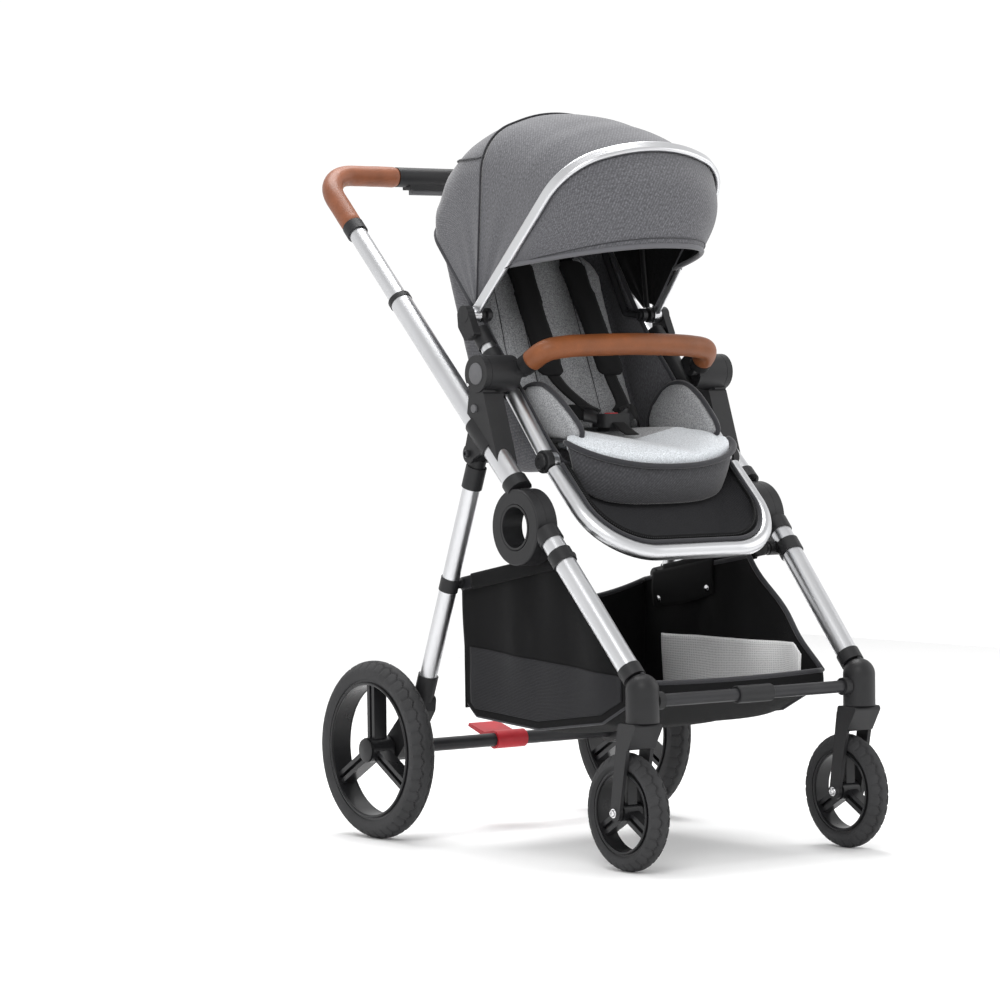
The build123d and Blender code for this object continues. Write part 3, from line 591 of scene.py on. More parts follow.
def back_edge(share):
    """Just behind the rear cloth's last edge."""
    return arch_point(REAR_ANGLE, share, REAR_RISE, foot=ARCH_FOOT) + Vector((0, 0.0005, 0))


tube("canopy_rear_binding", [back_edge(share) for share in steps(60)], 0.0032, binding_cloth, "seat", flat=0.7)

# The drop visor hangs from the front bow.
VISOR_HALF = 0.171


def visor_low(share):
    """The visor's free edge, from its right end to its left end."""
    c = 2 * share - 1
    x = VISOR_HALF * sin(c * pi / 2) * (1 - 0.05 * (1 - abs(c)) * abs(c) * 4)
    bulge = 1 - abs(x / VISOR_HALF) ** 2.6
    return Vector((x, -0.002 - 0.208 * bulge, 0.912 + 0.026 * bulge))


def visor_cloth(u, v):
    """The visor, bellied out in its middle and creased towards its ends."""
    p = arch_point(FRONT_ANGLE + 0.9, mix(0.03, 0.97, u), FRONT_RISE, CANOPY_HALF - 0.0005).lerp(visor_low(u), v)
    c = 2 * u - 1
    middle = 1 - abs(c) ** 3
    out = Vector((0.55 * c, -0.80, 0.25)).normalized()
    belly = sin(pi * v) * (0.017 * middle + 0.003)
    fold = wrinkle((p.x * 1.2, p.y, p.z * 0.5), 11, 0.006) * sin(pi * min(1, v * 1.15)) * middle
    crease = 0.0064 * sin(9 * pi * abs(c)) * smooth_step((abs(c) - 0.55) / 0.3) * sin(pi * v)
    return p + out * (belly + fold + crease)


visor = cloth_sheet("visor_cloth", lambda u, v: visor_cloth(1 - u, v), 110, 34, [grey_cloth, lining_cloth],
                    "canopy_front")
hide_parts("visor")
cut_to_size(visor)
tube("visor_hem", [visor_low(share) for share in steps(90)], 0.0042, grey_cloth, "canopy_front")
tube("visor_hem_stitch", [visor_cloth(share, 0.93) + Vector((0, -0.0015, 0)) for share in steps(90)], 0.0008,
     binding_cloth, "canopy_front", sides=6)

for side, sign in SIDES:
    centre = Vector((sign * (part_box("front_bow")[1].x - 0.0005), CANOPY.y, CANOPY.z))
    lathe(f"{side}_canopy_pivot_cap", [(0.0, 0.0), (0.0125, 0.0), (0.0125, 0.0018), (0.011, 0.0032),
                                       (0.0045, 0.0034), (0.004, 0.0022), (0.0, 0.0022)],
          centre, (sign, 0, 0), black_plastic, "canopy_front")

# ---------------------------------------------------------------- seat fabric
SHELL_HALF = 0.158
SHELL_CORNER = 0.080
SHELL_BEND = 0.035
SEAT_STATIONS = [  # base (y, z) on the pan and back, and edge (y, z) of the side wing
    ((-0.130, 0.599), (-0.123, 0.612)), ((-0.085, 0.594), (-0.081, 0.652)), ((-0.030, 0.590), (-0.035, 0.705)),
    ((0.020, 0.589), (0.003, 0.750)), ((0.056, 0.602), (0.027, 0.776)), ((0.083, 0.645), (0.053, 0.806)),
    ((0.116, 0.725), (0.088, 0.855)), ((0.152, 0.815), (0.121, 0.905)), ((0.187, 0.902), (0.152, 0.950)),
    ((0.212, 0.966), (0.176, 0.984)), ((0.208, 0.990), (0.199, 0.991))]
station_base = curve_points([(0, *b) for b, e in SEAT_STATIONS], 61)
station_edge = curve_points([(0, *e) for b, e in SEAT_STATIONS], 61)


def shell_half(z):
    """The seat back's half width, with its rounded top corners."""
    over = max(0.0, z - 0.912)
    return SHELL_HALF - SHELL_CORNER + sqrt(SHELL_CORNER ** 2 - min(over, SHELL_CORNER - 0.0001) ** 2)


def shell_point(u, v):
    """The seat's skin: across from the right wing's edge, round the pan, to the left wing's edge."""
    k = v * 60
    i = min(int(k), 59)
    base = station_base[i].lerp(station_base[i + 1], k - i)
    edge = station_edge[i].lerp(station_edge[i + 1], k - i)
    wing = (edge - base).length
    half = shell_half(base.z)
    flat = max(0.01, half - SHELL_BEND)
    total = 2 * (flat + wing + SHELL_BEND)
    s = abs(2 * u - 1) * total / 2
    sign = -1 if u < 0.5 else 1
    rise_way = (edge - base).normalized() if wing > 1e-4 else Vector((0, 0, 1))
    if s < flat:
        return Vector((sign * s, base.y, base.z))
    bend = SHELL_BEND * pi / 2
    if s < flat + bend:
        a = (s - flat) / SHELL_BEND
        lift = min(wing, SHELL_BEND) * (1 - cos(a))
        return Vector((sign * (flat + SHELL_BEND * sin(a)), base.y, base.z)) + rise_way * lift
    share = (s - flat - bend) / max(1e-6, total / 2 - flat - bend)
    up = min(wing, SHELL_BEND) + share * max(0.0, wing - SHELL_BEND)
    return Vector((sign * half, base.y, base.z)) + rise_way * up


shell = cloth_sheet("seat_cover", lambda u, v: shell_point(u, v), 90, 70, [grey_cloth, grey_cloth], "seat",
                    thick=0.003, side=1.0)
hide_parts("seat_shell")
cut_to_size(shell)
for name, line in (("right_wing", [shell_point(0.0, share) for share in steps(80)]),
                   ("left_wing", [shell_point(1.0, share) for share in steps(80)]),
                   ("seat_front", [shell_point(share, 0.0) for share in steps(60)]),
                   ("seat_back", [shell_point(share, 1.0) for share in steps(60)])):
    tube(f"{name}_binding", line, 0.0040, binding_cloth, "seat", sides=8)


# ---------------------------------------------------------------- padded pieces
def rounded_pad(name, outline, thickness, place, material, voxel=0.0055):
    """A closed flat pad: a plan outline given a thickness, laid into the row frame by place(x, s, h)."""
    count = len(outline)
    vertices, faces = [], []
    for h in (0.0, thickness):
        vertices += [place(x, s, h) for x, s in outline]
    faces.append(tuple(range(count - 1, -1, -1)))
    faces.append(tuple(range(count, 2 * count)))
    faces += [(i, (i + 1) % count, count + (i + 1) % count, count + i) for i in range(count)]
    thing = new_piece(name, vertices, faces, [material])
    remesh = thing.modifiers.new("voxels", "REMESH")
    remesh.mode = "VOXEL"
    remesh.voxel_size = voxel
    remesh.use_smooth_shade = True
    settle(thing)
    return thing


def inflate(thing, pressure=4.0, cap=0.010):
    """Blow the pad up a little with the cloth solver, capped, and finish it with one subdivision."""
    start = [v.co.copy() for v in thing.data.vertices]
    cloth = thing.modifiers.new("cloth", "CLOTH")
    cloth.settings.use_pressure = True
    cloth.settings.uniform_pressure_force = pressure
    cloth.settings.effector_weights.gravity = 0.0
    cloth.settings.quality = 5
    cloth.settings.tension_stiffness = 12
    cloth.settings.compression_stiffness = 12
    cloth.settings.bending_stiffness = 1.5
    cloth.settings.mass = 0.25
    cloth.collision_settings.use_collision = False
    cloth.point_cache.frame_start = 1
    cloth.point_cache.frame_end = 20
    for step in range(1, 21):
        bpy.context.scene.frame_set(step)
    graph = bpy.context.evaluated_depsgraph_get()
    moved = [v.co.copy() for v in thing.evaluated_get(graph).data.vertices]
    thing.modifiers.clear()
    bpy.context.scene.frame_set(1)
    for vertex, a, b in zip(thing.data.vertices, start, moved):
        way = b - a
        if way.length > cap:
            way *= cap / way.length
        vertex.co = a + way
    smooth = thing.modifiers.new("smooth", "SMOOTH")
    smooth.iterations = 4
    smooth.factor = 0.5
    finer = thing.modifiers.new("finer", "SUBSURF")
    finer.levels = finer.render_levels = 1
    settle(thing)
    thing.data.shade_smooth()
    return thing


def groove(thing, where, depth, width, way):
    """Press a sewn channel into a pad: where(co) gives the distance to the seam line, or None off it."""
    for vertex in thing.data.vertices:
        gap = where(vertex.co)
        if gap is not None and gap < 3 * width:
            vertex.co += way * depth * pow(2.718, -(gap / width) ** 2)


BACK_FOOT = Vector((0, 0.034, 0.652))
BACK_HEAD = Vector((0, 0.158, 0.962))
BACK_WAY = (BACK_HEAD - BACK_FOOT).normalized()
BACK_OUT = Vector((0, -BACK_WAY.z, BACK_WAY.y))


def on_back(x, s, lift):
    """A point in front of the back cushion's plane, s up from its foot."""
    return BACK_FOOT + BACK_WAY * s + BACK_OUT * lift + Vector((x, 0, 0))


def pan_place(x, s, h):
    """The pan cushion: s runs from the lip backwards, h is up."""
    droop = 0.041 * max(0.0, (0.080 - s) / 0.080) ** 1.5
    dish = 0.004 * (1 - min(1.0, abs(x) / 0.14) ** 2) * smooth_step((s - 0.09) / 0.08)
    return Vector((x, -0.209 + s, 0.628 + h - droop - dish))


LIP_HALF = 0.160


def lip_outline(share, grow=0.0):
    """The cushion's rounded front edge as (x, s), from its right end to its left end."""
    a = pi + pi * share
    x = LIP_HALF * (1 if cos(a) > 0 else -1) * abs(cos(a)) ** 0.9
    return (x * (1 + grow / LIP_HALF), 0.067 - (0.067 + grow) * abs(sin(a)) ** 0.9)


def pan_outline():
    """The cushion's plan as (x, s): the wide lip, then the narrower pan between the wings."""
    half, depth = 0.135, 0.234
    points = [lip_outline(k / 32) for k in range(33)]
    side = [(half + 0.012, 0.086), (half, 0.105), (half, 0.180), (half - 0.008, depth), (0.07, depth)]
    return points + side + [(0.0, depth)] + [(-x, s) for x, s in side[::-1]]


pan = rounded_pad("seat_cushion", pan_outline(), 0.024, pan_place, pale_cloth)
inflate(pan, cap=0.006)
pan.data.materials.append(heather_cloth)
for face in pan.data.polygons:
    face.material_index = 1 if face.center.y > -0.080 else 0
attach(pan, "seat")
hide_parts("seat_pad")


def back_place(x, s, h):
    """The back cushion: s up from its foot, h forwards, hollowed towards its middle."""
    return on_back(x, s, h - 0.030 - 0.008 * (1 - (x / 0.14) ** 2))


def corner_arc(x, s, radius, start, count):
    """A quarter round about (x, s), from a start angle on."""
    return [(x + radius * cos(start + pi / 2 * k / count), s + radius * sin(start + pi / 2 * k / count))
            for k in range(count + 1)]


def back_outline():
    """The back cushion's plan as (x, s), with rounded top corners."""
    half, length, corner = 0.135, 0.322, 0.050
    foot = [(-half, 0.0), (-0.07, 0.0), (0.0, 0.0), (0.07, 0.0), (half, 0.0), (half, 0.1), (half, 0.2)]
    right = corner_arc(half - corner, length - corner, corner, 0.0, 8)
    left = corner_arc(corner - half, length - corner, corner, pi / 2, 8)
    return foot + right + left + [(-half, 0.2), (-half, 0.1)]


back = rounded_pad("back_cushion", back_outline(), 0.026, back_place, heather_cloth)
inflate(back, cap=0.008)
SEAMS = ((0.052, 0.02), (0.094, 0.05))  # half distance at the top, and how much it spreads downwards


def seam_x(line, spread, s):
    return line + spread * (0.33 - s)


def on_seam(co):
    """How far a point of the back cushion's front is from its nearest sewn seam."""
    if (co - BACK_FOOT).dot(BACK_OUT) < -0.018:
        return None
    s = (co - BACK_FOOT).dot(BACK_WAY)
    return min(abs(abs(co.x) - seam_x(line, spread, s)) for line, spread in SEAMS)


groove(back, on_seam, 0.004, 0.0028, -BACK_OUT)
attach(back, "seat")


def surface_line(target, starts, way, lift):
    """Points of a piece's surface reached from start points along a direction."""
    seen = target.evaluated_get(bpy.context.evaluated_depsgraph_get())
    hits = [seen.ray_cast(start, way) for start in starts]
    return [hit[1] - way.normalized() * lift for hit in hits if hit[0]]


for side, sign in SIDES:
    for n, (line, spread) in enumerate(SEAMS):
        heights = [mix(0.012, 0.318, share) for share in steps(59)]
        starts = [on_back(sign * seam_x(line, spread, s), s, 0.2) for s in heights]
        tube(f"{side}_back_seam_{n + 1}", surface_line(back, starts, -BACK_OUT, 0.0002), 0.0009, binding_cloth,
             "seat", sides=6)


def lip_line(share):
    """The front edge of the pan cushion, from right to left."""
    x, s = lip_outline(share, 0.0015)
    return pan_place(x, s, 0.011)


tube("cushion_binding", [lip_line(share) for share in steps(70)], 0.0045, binding_cloth, "seat", flat=1.3)

# Side bolsters stand up along the pan, each a flat padded triangle with a dark edge.
for side, sign in SIDES:
    corners = curve_points([(0, -0.150, 0.646), (0, -0.118, 0.690), (0, -0.066, 0.724), (0, -0.018, 0.722),
                            (0, 0.018, 0.690), (0, 0.022, 0.650), (0, -0.06, 0.640)], 42, closed=True)
    thick = 0.010

    def bolster_place(x, s, h, sign=sign):
        return Vector((sign * (0.1385 + h - 0.10 * max(0.0, 0.72 - s)), x, s))

    outline = [(p.y, p.z) for p in corners]
    bolster = rounded_pad(f"{side}_hip_bolster", outline if sign > 0 else outline[::-1], thick, bolster_place,
                          heather_cloth, voxel=0.004)
    inflate(bolster, cap=0.003)
    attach(bolster, "seat")
    tube(f"{side}_bolster_binding", [bolster_place(p.y, p.z, thick / 2 - 0.001) for p in corners], 0.0042,
         binding_cloth, "seat", closed=True, sides=8)


# ---------------------------------------------------------------- harness
STRAP_X = 0.062


def ribbon(name, points, width, thick, material, body, across=(1, 0, 0), count=48):
    """Flat webbing with rounded edges along given points, its width held along a direction."""
    line = curve_points(points, count)
    vertices = []
    section = [(-1, -0.5), (-0.97, 0.5), (-0.6, 1), (0, 1), (0.6, 1), (0.97, 0.5), (1, -0.5), (0.6, -1), (0, -1),
               (-0.6, -1)]
    n = len(section)
    for k, p in enumerate(line):
        way = (line[min(k + 1, count - 1)] - line[max(k - 1, 0)]).normalized()
        side = Vector(across)
        side = (side - way * side.dot(way)).normalized()
        up = side.cross(way)
        vertices += [p + side * (a * width / 2) + up * (b * thick / 2) for a, b in section]
    thing = new_piece(name, vertices, swept_faces(count, n), [material], None)
    layer = thing.data.uv_layers.new(name="cloth")
    along = lengths(line)
    for loop in thing.data.loops:
        k, s = divmod(loop.vertex_index, n)
        layer.data[loop.index].uv = (section[s][0] * width / 2, along[k])
    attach(thing, body)
    return thing


for side, sign in SIDES:
    ribbon(f"{side}_shoulder_strap",
           [on_back(sign * 0.052, 0.315, 0.004), on_back(sign * 0.054, 0.27, 0.018),
            on_back(sign * 0.060, 0.14, 0.030), (sign * 0.056, 0.020, 0.735), (sign * 0.040, -0.028, 0.694),
            (sign * 0.020, -0.044, 0.678)],
           0.025, 0.0022, strap_cloth, "seat")
    pad_line = curve_points([on_back(sign * 0.0535, 0.292, 0.015), on_back(sign * 0.056, 0.22, 0.026),
                             on_back(sign * 0.061, 0.13, 0.034), on_back(sign * 0.060, 0.075, 0.040)], 30)
    pad_length = lengths(pad_line)

    def pad_place(x, s, h, line=pad_line, spans=pad_length):
        k = max(i for i in range(len(line)) if spans[i] <= max(0.0, min(s, spans[-1] - 1e-5)))
        k = min(k, len(line) - 2)
        t = (s - spans[k]) / (spans[k + 1] - spans[k])
        return line[k].lerp(line[k + 1], t) + Vector((x, 0, 0)) + BACK_OUT * h

    corner = 0.018
    inner, far = 0.0285 - corner, pad_length[-1] - corner
    outline = []
    for x, s, start in ((inner, corner, -pi / 2), (inner, far, 0.0), (-inner, far, pi / 2), (-inner, corner, pi)):
        outline += corner_arc(x, s, corner, start, 6)
    shoulder_pad = rounded_pad(f"{side}_shoulder_pad", outline, 0.007, pad_place, strap_cloth, voxel=0.004)
    inflate(shoulder_pad, cap=0.003)
    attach(shoulder_pad, "seat")
    ribbon(f"{side}_waist_strap",
           [(sign * 0.118, 0.030, 0.664), (sign * 0.095, 0.004, 0.675), (sign * 0.060, -0.028, 0.682),
            (sign * 0.024, -0.046, 0.676)],
           0.025, 0.0022, strap_cloth, "seat", across=(0, 0.35, 1))
    ribbon(f"{side}_buckle_tongue",
           [(sign * 0.046, -0.038, 0.678), (sign * 0.036, -0.044, 0.676), (sign * 0.026, -0.048, 0.672)],
           0.024, 0.007, gloss_plastic, "seat", across=(0, 0.6, 1), count=12)
ribbon("crotch_strap", [(0, -0.104, 0.646), (0, -0.090, 0.652), (0, -0.074, 0.662), (0, -0.066, 0.666)],
       0.028, 0.0022, strap_cloth, "seat")
harness_cover = ribbon("strap_slots", [on_back(-0.080, 0.300, -0.001), on_back(0.0, 0.303, -0.004),
                                       on_back(0.080, 0.300, -0.001)], 0.022, 0.002, binding_cloth, "seat", across=tuple(BACK_WAY))
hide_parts("harness")

# ---------------------------------------------------------------- footrest
FOOT = pivot("footrest_lift")
BAR = Vector((0, -0.263, 0.4675))
FOOT_LENGTH = (BAR - FOOT).length
FOOT_WAY = (BAR - FOOT) / FOOT_LENGTH
FOOT_UP = Vector((0, FOOT_WAY.z, -FOOT_WAY.y))
FOOT_HALF = 0.1655
FOOT_CORNER = 0.088


def foot_half(s):
    """Half the width inside the footrest tube, s down from the hinge."""
    over = max(0.0, s - (FOOT_LENGTH - 0.0135 - FOOT_CORNER))
    return FOOT_HALF - FOOT_CORNER + sqrt(max(0.0, FOOT_CORNER ** 2 - min(over, FOOT_CORNER) ** 2))


def foot_point(u, s, sag):
    """The cloth stretched inside the footrest tube, hollowed by its sag."""
    half = foot_half(s)
    c = 2 * u - 1
    side, end = 1 - abs(c) ** 7, 1 - max(0.0, s / FOOT_LENGTH) ** 9
    hollow = sag * side * end - 0.009 * (1 - side * end)
    return FOOT + FOOT_WAY * s - FOOT_UP * hollow + Vector((half * c, 0, 0))


FOOT_START, FOOT_END = 0.016, FOOT_LENGTH - 0.0136
foot_net = cloth_sheet("footrest_net", lambda u, v: foot_point(1 - u, mix(FOOT_START, FOOT_END, v), 0.021)
                       + FOOT_UP * 0.0015, 90, 60, [black_net, black_cloth], "footrest")
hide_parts("footrest_panel")
cut_to_size(foot_net)
under = cloth_sheet("footrest_underside", lambda u, v: foot_point(u, mix(FOOT_START, FOOT_END, v), 0.030)
                    - FOOT_UP * (0.010 + 0.010 * sin(pi * u)), 60, 30, [black_cloth, black_cloth], "footrest")
cut_to_size(under)


def foot_rim(lift, inward, count=120):
    """A line just inside the footrest tube, from the right hinge round to the left one."""
    points = []
    line = FOOT_END - inward
    run = line - FOOT_CORNER
    straight = run - FOOT_START
    arc = FOOT_CORNER * pi / 2
    total = 2 * (straight + arc) + 2 * (FOOT_HALF - inward - FOOT_CORNER)
    for share in steps(count - 1):
        d = share * total
        sign = -1
        if d > total / 2:
            d, sign = total - d, 1
        if d < straight:
            x, s = FOOT_HALF - inward, FOOT_START + d
        elif d < straight + arc:
            t = (d - straight) / FOOT_CORNER
            x, s = FOOT_HALF - inward - FOOT_CORNER * (1 - cos(t)), run + FOOT_CORNER * sin(t)
        else:
            x, s = total / 2 - d, line
        points.append(FOOT + FOOT_WAY * s + FOOT_UP * lift + Vector((sign * x, 0, 0)))
    return points


tube("footrest_edge_roll", foot_rim(0.0105, -0.001), 0.0034, binding_cloth, "footrest", sides=12)
tube("footrest_zip_tape", foot_rim(0.009, 0.006), 0.0058, black_cloth, "footrest", flat=0.35)


def teeth(name, line, pitch, size, material, body):
    """Many small blocks set along a line, such as zip teeth or stitches, as one piece."""
    spans = lengths(line)
    count = int(spans[-1] / pitch)
    vertices, faces = [], []
    k = 0
    for n in range(count):
        d = (n + 0.5) * pitch
        while spans[k + 1] < d:
            k += 1
        t = (d - spans[k]) / (spans[k + 1] - spans[k])
        p = Vector(line[k]).lerp(Vector(line[k + 1]), t)
        way = (Vector(line[k + 1]) - Vector(line[k])).normalized()
        first = way.orthogonal().normalized()
        second = way.cross(first)
        faces += swept_faces(4, 6, base=len(vertices))
        for end, grow in ((-0.5, 0.55), (-0.25, 1.0), (0.25, 1.0), (0.5, 0.55)):
            for c in range(6):
                a = pi * c / 3
                vertices.append(p + way * end * size[0] + (first * cos(a) + second * sin(a)) * size[1] * grow)
    return new_piece(name, vertices, faces, [material], body)


teeth("footrest_zip_teeth", foot_rim(0.0112, 0.006, 200), 0.0036, (0.0018, 0.0016), black_plastic, "footrest")


def flap_point(u, v):
    """The grey flap that hangs from the cushion's lip over the footrest."""
    c = 2 * u - 1
    top = lip_line(mix(0.03, 0.97, u)) + Vector((0, 0.004, -0.004))
    low_z = 0.538 + 0.046 * abs(c) ** 2.6
    low = Vector((top.x * (0.97 - 0.05 * abs(c)), top.y + 0.030 * (1 - abs(c) ** 2), low_z))
    return top.lerp(low, v) + Vector((0, -0.008 * sin(pi * v) * (1 - c * c), 0))


# The flap is drawn in the darker twill, which is painted shade from the cushion's lip above it.
flap = cloth_sheet("lip_flap", lambda u, v: flap_point(1 - u, v), 60, 20, [painted_shade_twill, black_cloth], thick=0.003)
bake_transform(flap)
cut_to_size(flap)

# ---------------------------------------------------------------- basket
BASKET_HALF = 0.184
RIM = [(0.100, 0.404), (-0.165, 0.450), (-0.338, 0.276)]
FLOOR_LINE = [(0.104, 0.214), (0.075, 0.190), (-0.090, 0.180), (-0.250, 0.200), (-0.340, 0.243)]
SIDE_FRONT, SIDE_BACK = -0.338, 0.101
HEM = 0.012


def height_on(line, y):
    """The height of a side-view line at a y."""
    for (ya, za), (yb, zb) in zip(line, line[1:]):
        if y >= yb or (yb, zb) == line[-1]:
            return mix(za, zb, (ya - y) / (ya - yb))


def side_top(y):
    """The height of the basket side's upper edge at a y."""
    return height_on(RIM, y)


def side_low(y):
    """The height of the side's lower edge, just over the floor cloth."""
    return height_on(FLOOR_LINE, y) + HEM


def basket_side(sign):
    """The side panel, u from its back to its front edge and v down, sagging between its seams."""
    def point(u, v):
        y = mix(SIDE_BACK, SIDE_FRONT, u)
        z = mix(side_top(y), side_low(y), v)
        fall = sin(pi * v)
        tuck = -0.006 * v ** 3
        dart = 0.004 * sin(u * 26) * (1 - v) * smooth_step((0.5 - abs(u - 0.62)) / 0.3)
        sag = fall * (0.006 + wrinkle((0, y, z), 9, 0.010)) - 0.004 * fall * cos(u * 17)
        return Vector((sign * (BASKET_HALF + 0.001 + tuck - abs(sag) * 0.6 + dart), y, z))
    return point


def basket_floor(u, v):
    """The floor, dished between the sides."""
    y = mix(0.098, -0.336, v)
    c = 2 * u - 1
    edge = 1 - abs(c) ** 5
    return Vector((c * (BASKET_HALF - 0.004), y, side_low(y) + 0.0015 - 0.011 * edge
                   - 0.004 * sin(pi * v) * edge * sin(v * 9) ** 2))


def basket_back(u, v):
    """The back panel, lower in its middle and bulged."""
    c = 2 * u - 1
    z = mix(0.404 - 0.030 * (1 - c * c), 0.214, v)
    bulge = sin(pi * v) * (0.006 + 0.004 * cos(3 * pi * c))
    return Vector((c * BASKET_HALF, 0.1005 + bulge * (1 - c ** 6), z))


def basket_front(u, v):
    """The low front panel."""
    c = 2 * u - 1
    return Vector((c * BASKET_HALF, -0.3385 - 0.002 * sin(pi * v), mix(0.277, 0.247, v) - 0.004 * (1 - c * c)))


def in_basket(thing):
    """Let a piece ride with the basket on the rear legs, with a mesh of its own."""
    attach(thing, "rear_legs")
    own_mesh(thing)


def basket_piece(name, point, columns, rows, cloth=black_cloth, thick=0.0022):
    """One panel of the basket."""
    thing = cloth_sheet(name, point, columns, rows, [cloth, cloth], thick=thick)
    in_basket(thing)
    cut_to_size(thing)
    return thing


first_side = basket_piece("basket_right_side", basket_side(-1), 80, 34)
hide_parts("basket")
basket_piece("basket_left_side", basket_side(1), 80, 34)
basket_piece("basket_floor", basket_floor, 40, 60)
basket_piece("basket_back", basket_back, 50, 24)
basket_piece("basket_front", basket_front, 50, 8)


def basket_trim(name, panel, v, count, radius=0.0042):
    """A bound edge along a panel of the basket."""
    in_basket(tube(name, [panel(share, v) for share in steps(count)], radius, binding_cloth, sides=8))


for side, sign in SIDES:
    basket_trim(f"basket_{side}_rim", basket_side(sign), 0.0, 80)
    basket_trim(f"basket_{side}_low_seam", basket_side(sign), 1.0, 80, 0.0026)
basket_trim("basket_front_rim", basket_front, 0.0, 30)
basket_trim("basket_back_rim", basket_back, 0.0, 30)


def on_side(sign, y, z, lift):
    """The point of the basket's side at a y and z, lifted outwards."""
    top, low = side_top(y), side_low(y)
    wall = basket_side(sign)((SIDE_BACK - y) / (SIDE_BACK - SIDE_FRONT), (top - z) / (top - low))
    return wall + Vector((sign * lift, 0, 0))


def window_point(sign):
    """The net window low in the basket's side, drawn just inside the cloth, in a near-white net that is painted
    backdrop light seen through it.
    """
    def point(u, v):
        y = mix(0.045, -0.300, u)
        high = min(0.318, side_top(y) - 0.014)
        return on_side(sign, y, mix(high, side_low(y) + 0.018, v), -0.0035)
    return point


def side_net_point(sign):
    """The dark net that makes the lower part of the basket's side, drawn just outside the cloth."""
    def point(u, v):
        u = u if sign < 0 else 1 - u
        y = mix(0.086, -0.300, u)
        high = min(mix(0.312, 0.285, u), side_top(y) - 0.030)
        return on_side(sign, y, mix(high, side_low(y) + 0.012, v), 0.0026)
    return point


for side, sign in SIDES:
    basket_piece(f"basket_{side}_window", window_point(sign), 50, 16, painted_backdrop_net, 0.001)
    basket_piece(f"basket_{side}_net", side_net_point(sign), 70, 24, black_net, 0.001)
    ends = [Vector((sign * 0.19475, y, z)) for y, z in ((-0.194, 0.462), (0.086, 0.413))]
    ribbon(f"{side}_link_sleeve", [ends[0].lerp(ends[1], share) for share in (0.09, 0.35, 0.65, 0.91)], 0.0252,
           0.0086, black_cloth, "side_links", across=(0, 0, 1), count=24)


def snap_flap(sign):
    """A flap of the basket's cloth that folds in over the side link and snaps shut."""
    def point(u, v):
        y = mix(0.070, -0.086, u)
        return Vector((sign * (0.1785 - 0.003 * sin(pi * v)), y, side_top(y) + 0.008 - 0.056 * v
                       - 0.006 * v * sin(pi * u)))
    return point


for side, sign in SIDES:
    flap_at = snap_flap(sign)
    basket_piece(f"basket_{side}_flap", flap_at, 30, 12, thick=0.002)
    for n, share in enumerate((0.10, 0.90)):
        stud = lathe(f"basket_{side}_snap_{n + 1}", [(0.0060, -0.001), (0.0060, 0.0006), (0.0044, 0.0018),
                                                     (0.0, 0.0020)],
                     flap_at(share, 0.80) - Vector((sign * 0.0015, 0, 0)), (-sign, 0, 0), bright, None,
                     sides=24)
        in_basket(stud)

# ---------------------------------------------------------------- leather
def stitch_line(line, name, body, pitch=0.0052):
    return teeth(name, line, pitch, (0.0036, 0.0007), thread_tan, body)


PUSH_WAY = Vector(joints["handle_height"]["axis"]).normalized()
GRIP_R = 0.0172
SLEEVE_SIDES = 28
BAR_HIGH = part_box("handle_tube")[1]
handle_bar = Vector((0, BAR_HIGH.y - 0.015, BAR_HIGH.z - 0.015))
PUSH_X = 0.228
BEND = 0.062


def grip_line(sign, count=60, start=0.664, reach=0.79225, inner=0.078):
    """The grip's centre line: up the push tube, round the bend and in along the bar."""
    out = []
    straight = reach - BEND - start
    arc = BEND * pi / 2
    across = PUSH_X - BEND - inner
    total = straight + arc + across
    for k in range(count):
        d = total * k / (count - 1)
        if d < straight:
            x, s = PUSH_X, start + d
        elif d < straight + arc:
            t = (d - straight) / BEND
            x, s = PUSH_X - BEND * (1 - cos(t)), reach - BEND + BEND * sin(t)
        else:
            x, s = PUSH_X - BEND - (d - straight - arc), reach
        out.append(handle_bar - PUSH_WAY * (reach - s) + Vector((sign * x, 0, 0)))
    return out


def sleeve_skin(name, line, radius, material, body, puff):
    """Leather drawn over a tube, with slightly turned-in ends and a faint unevenness."""
    thing = tube(name, line, radius, material, sides=SLEEVE_SIDES)
    rings = len(line)
    for i, vertex in enumerate(thing.data.vertices):
        ring = min(i // SLEEVE_SIDES, rings - 1)
        centre = line[ring]
        out = vertex.co - centre
        end = min(ring, rings - 1 - ring)
        grow = -0.0016 * (1 - min(1.0, end / 1.5)) + wrinkle(vertex.co, 30, puff)
        vertex.co = centre + out.normalized() * (out.length + grow)
    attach(thing, body)
    return thing


for side, sign in SIDES:
    line = grip_line(sign, 70)
    grip = sleeve_skin(f"{side}_grip_leather", line, GRIP_R, dull_leather, "handle", 0.0006)
    if sign < 0:
        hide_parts("handle_grips")
    inner = [p + (Vector((-sign * 0.7, 0, 0)) - PUSH_WAY * 0.7).normalized() * (GRIP_R + 0.0003) for p in line]
    stitch_line(inner, f"{side}_grip_stitches", "handle")

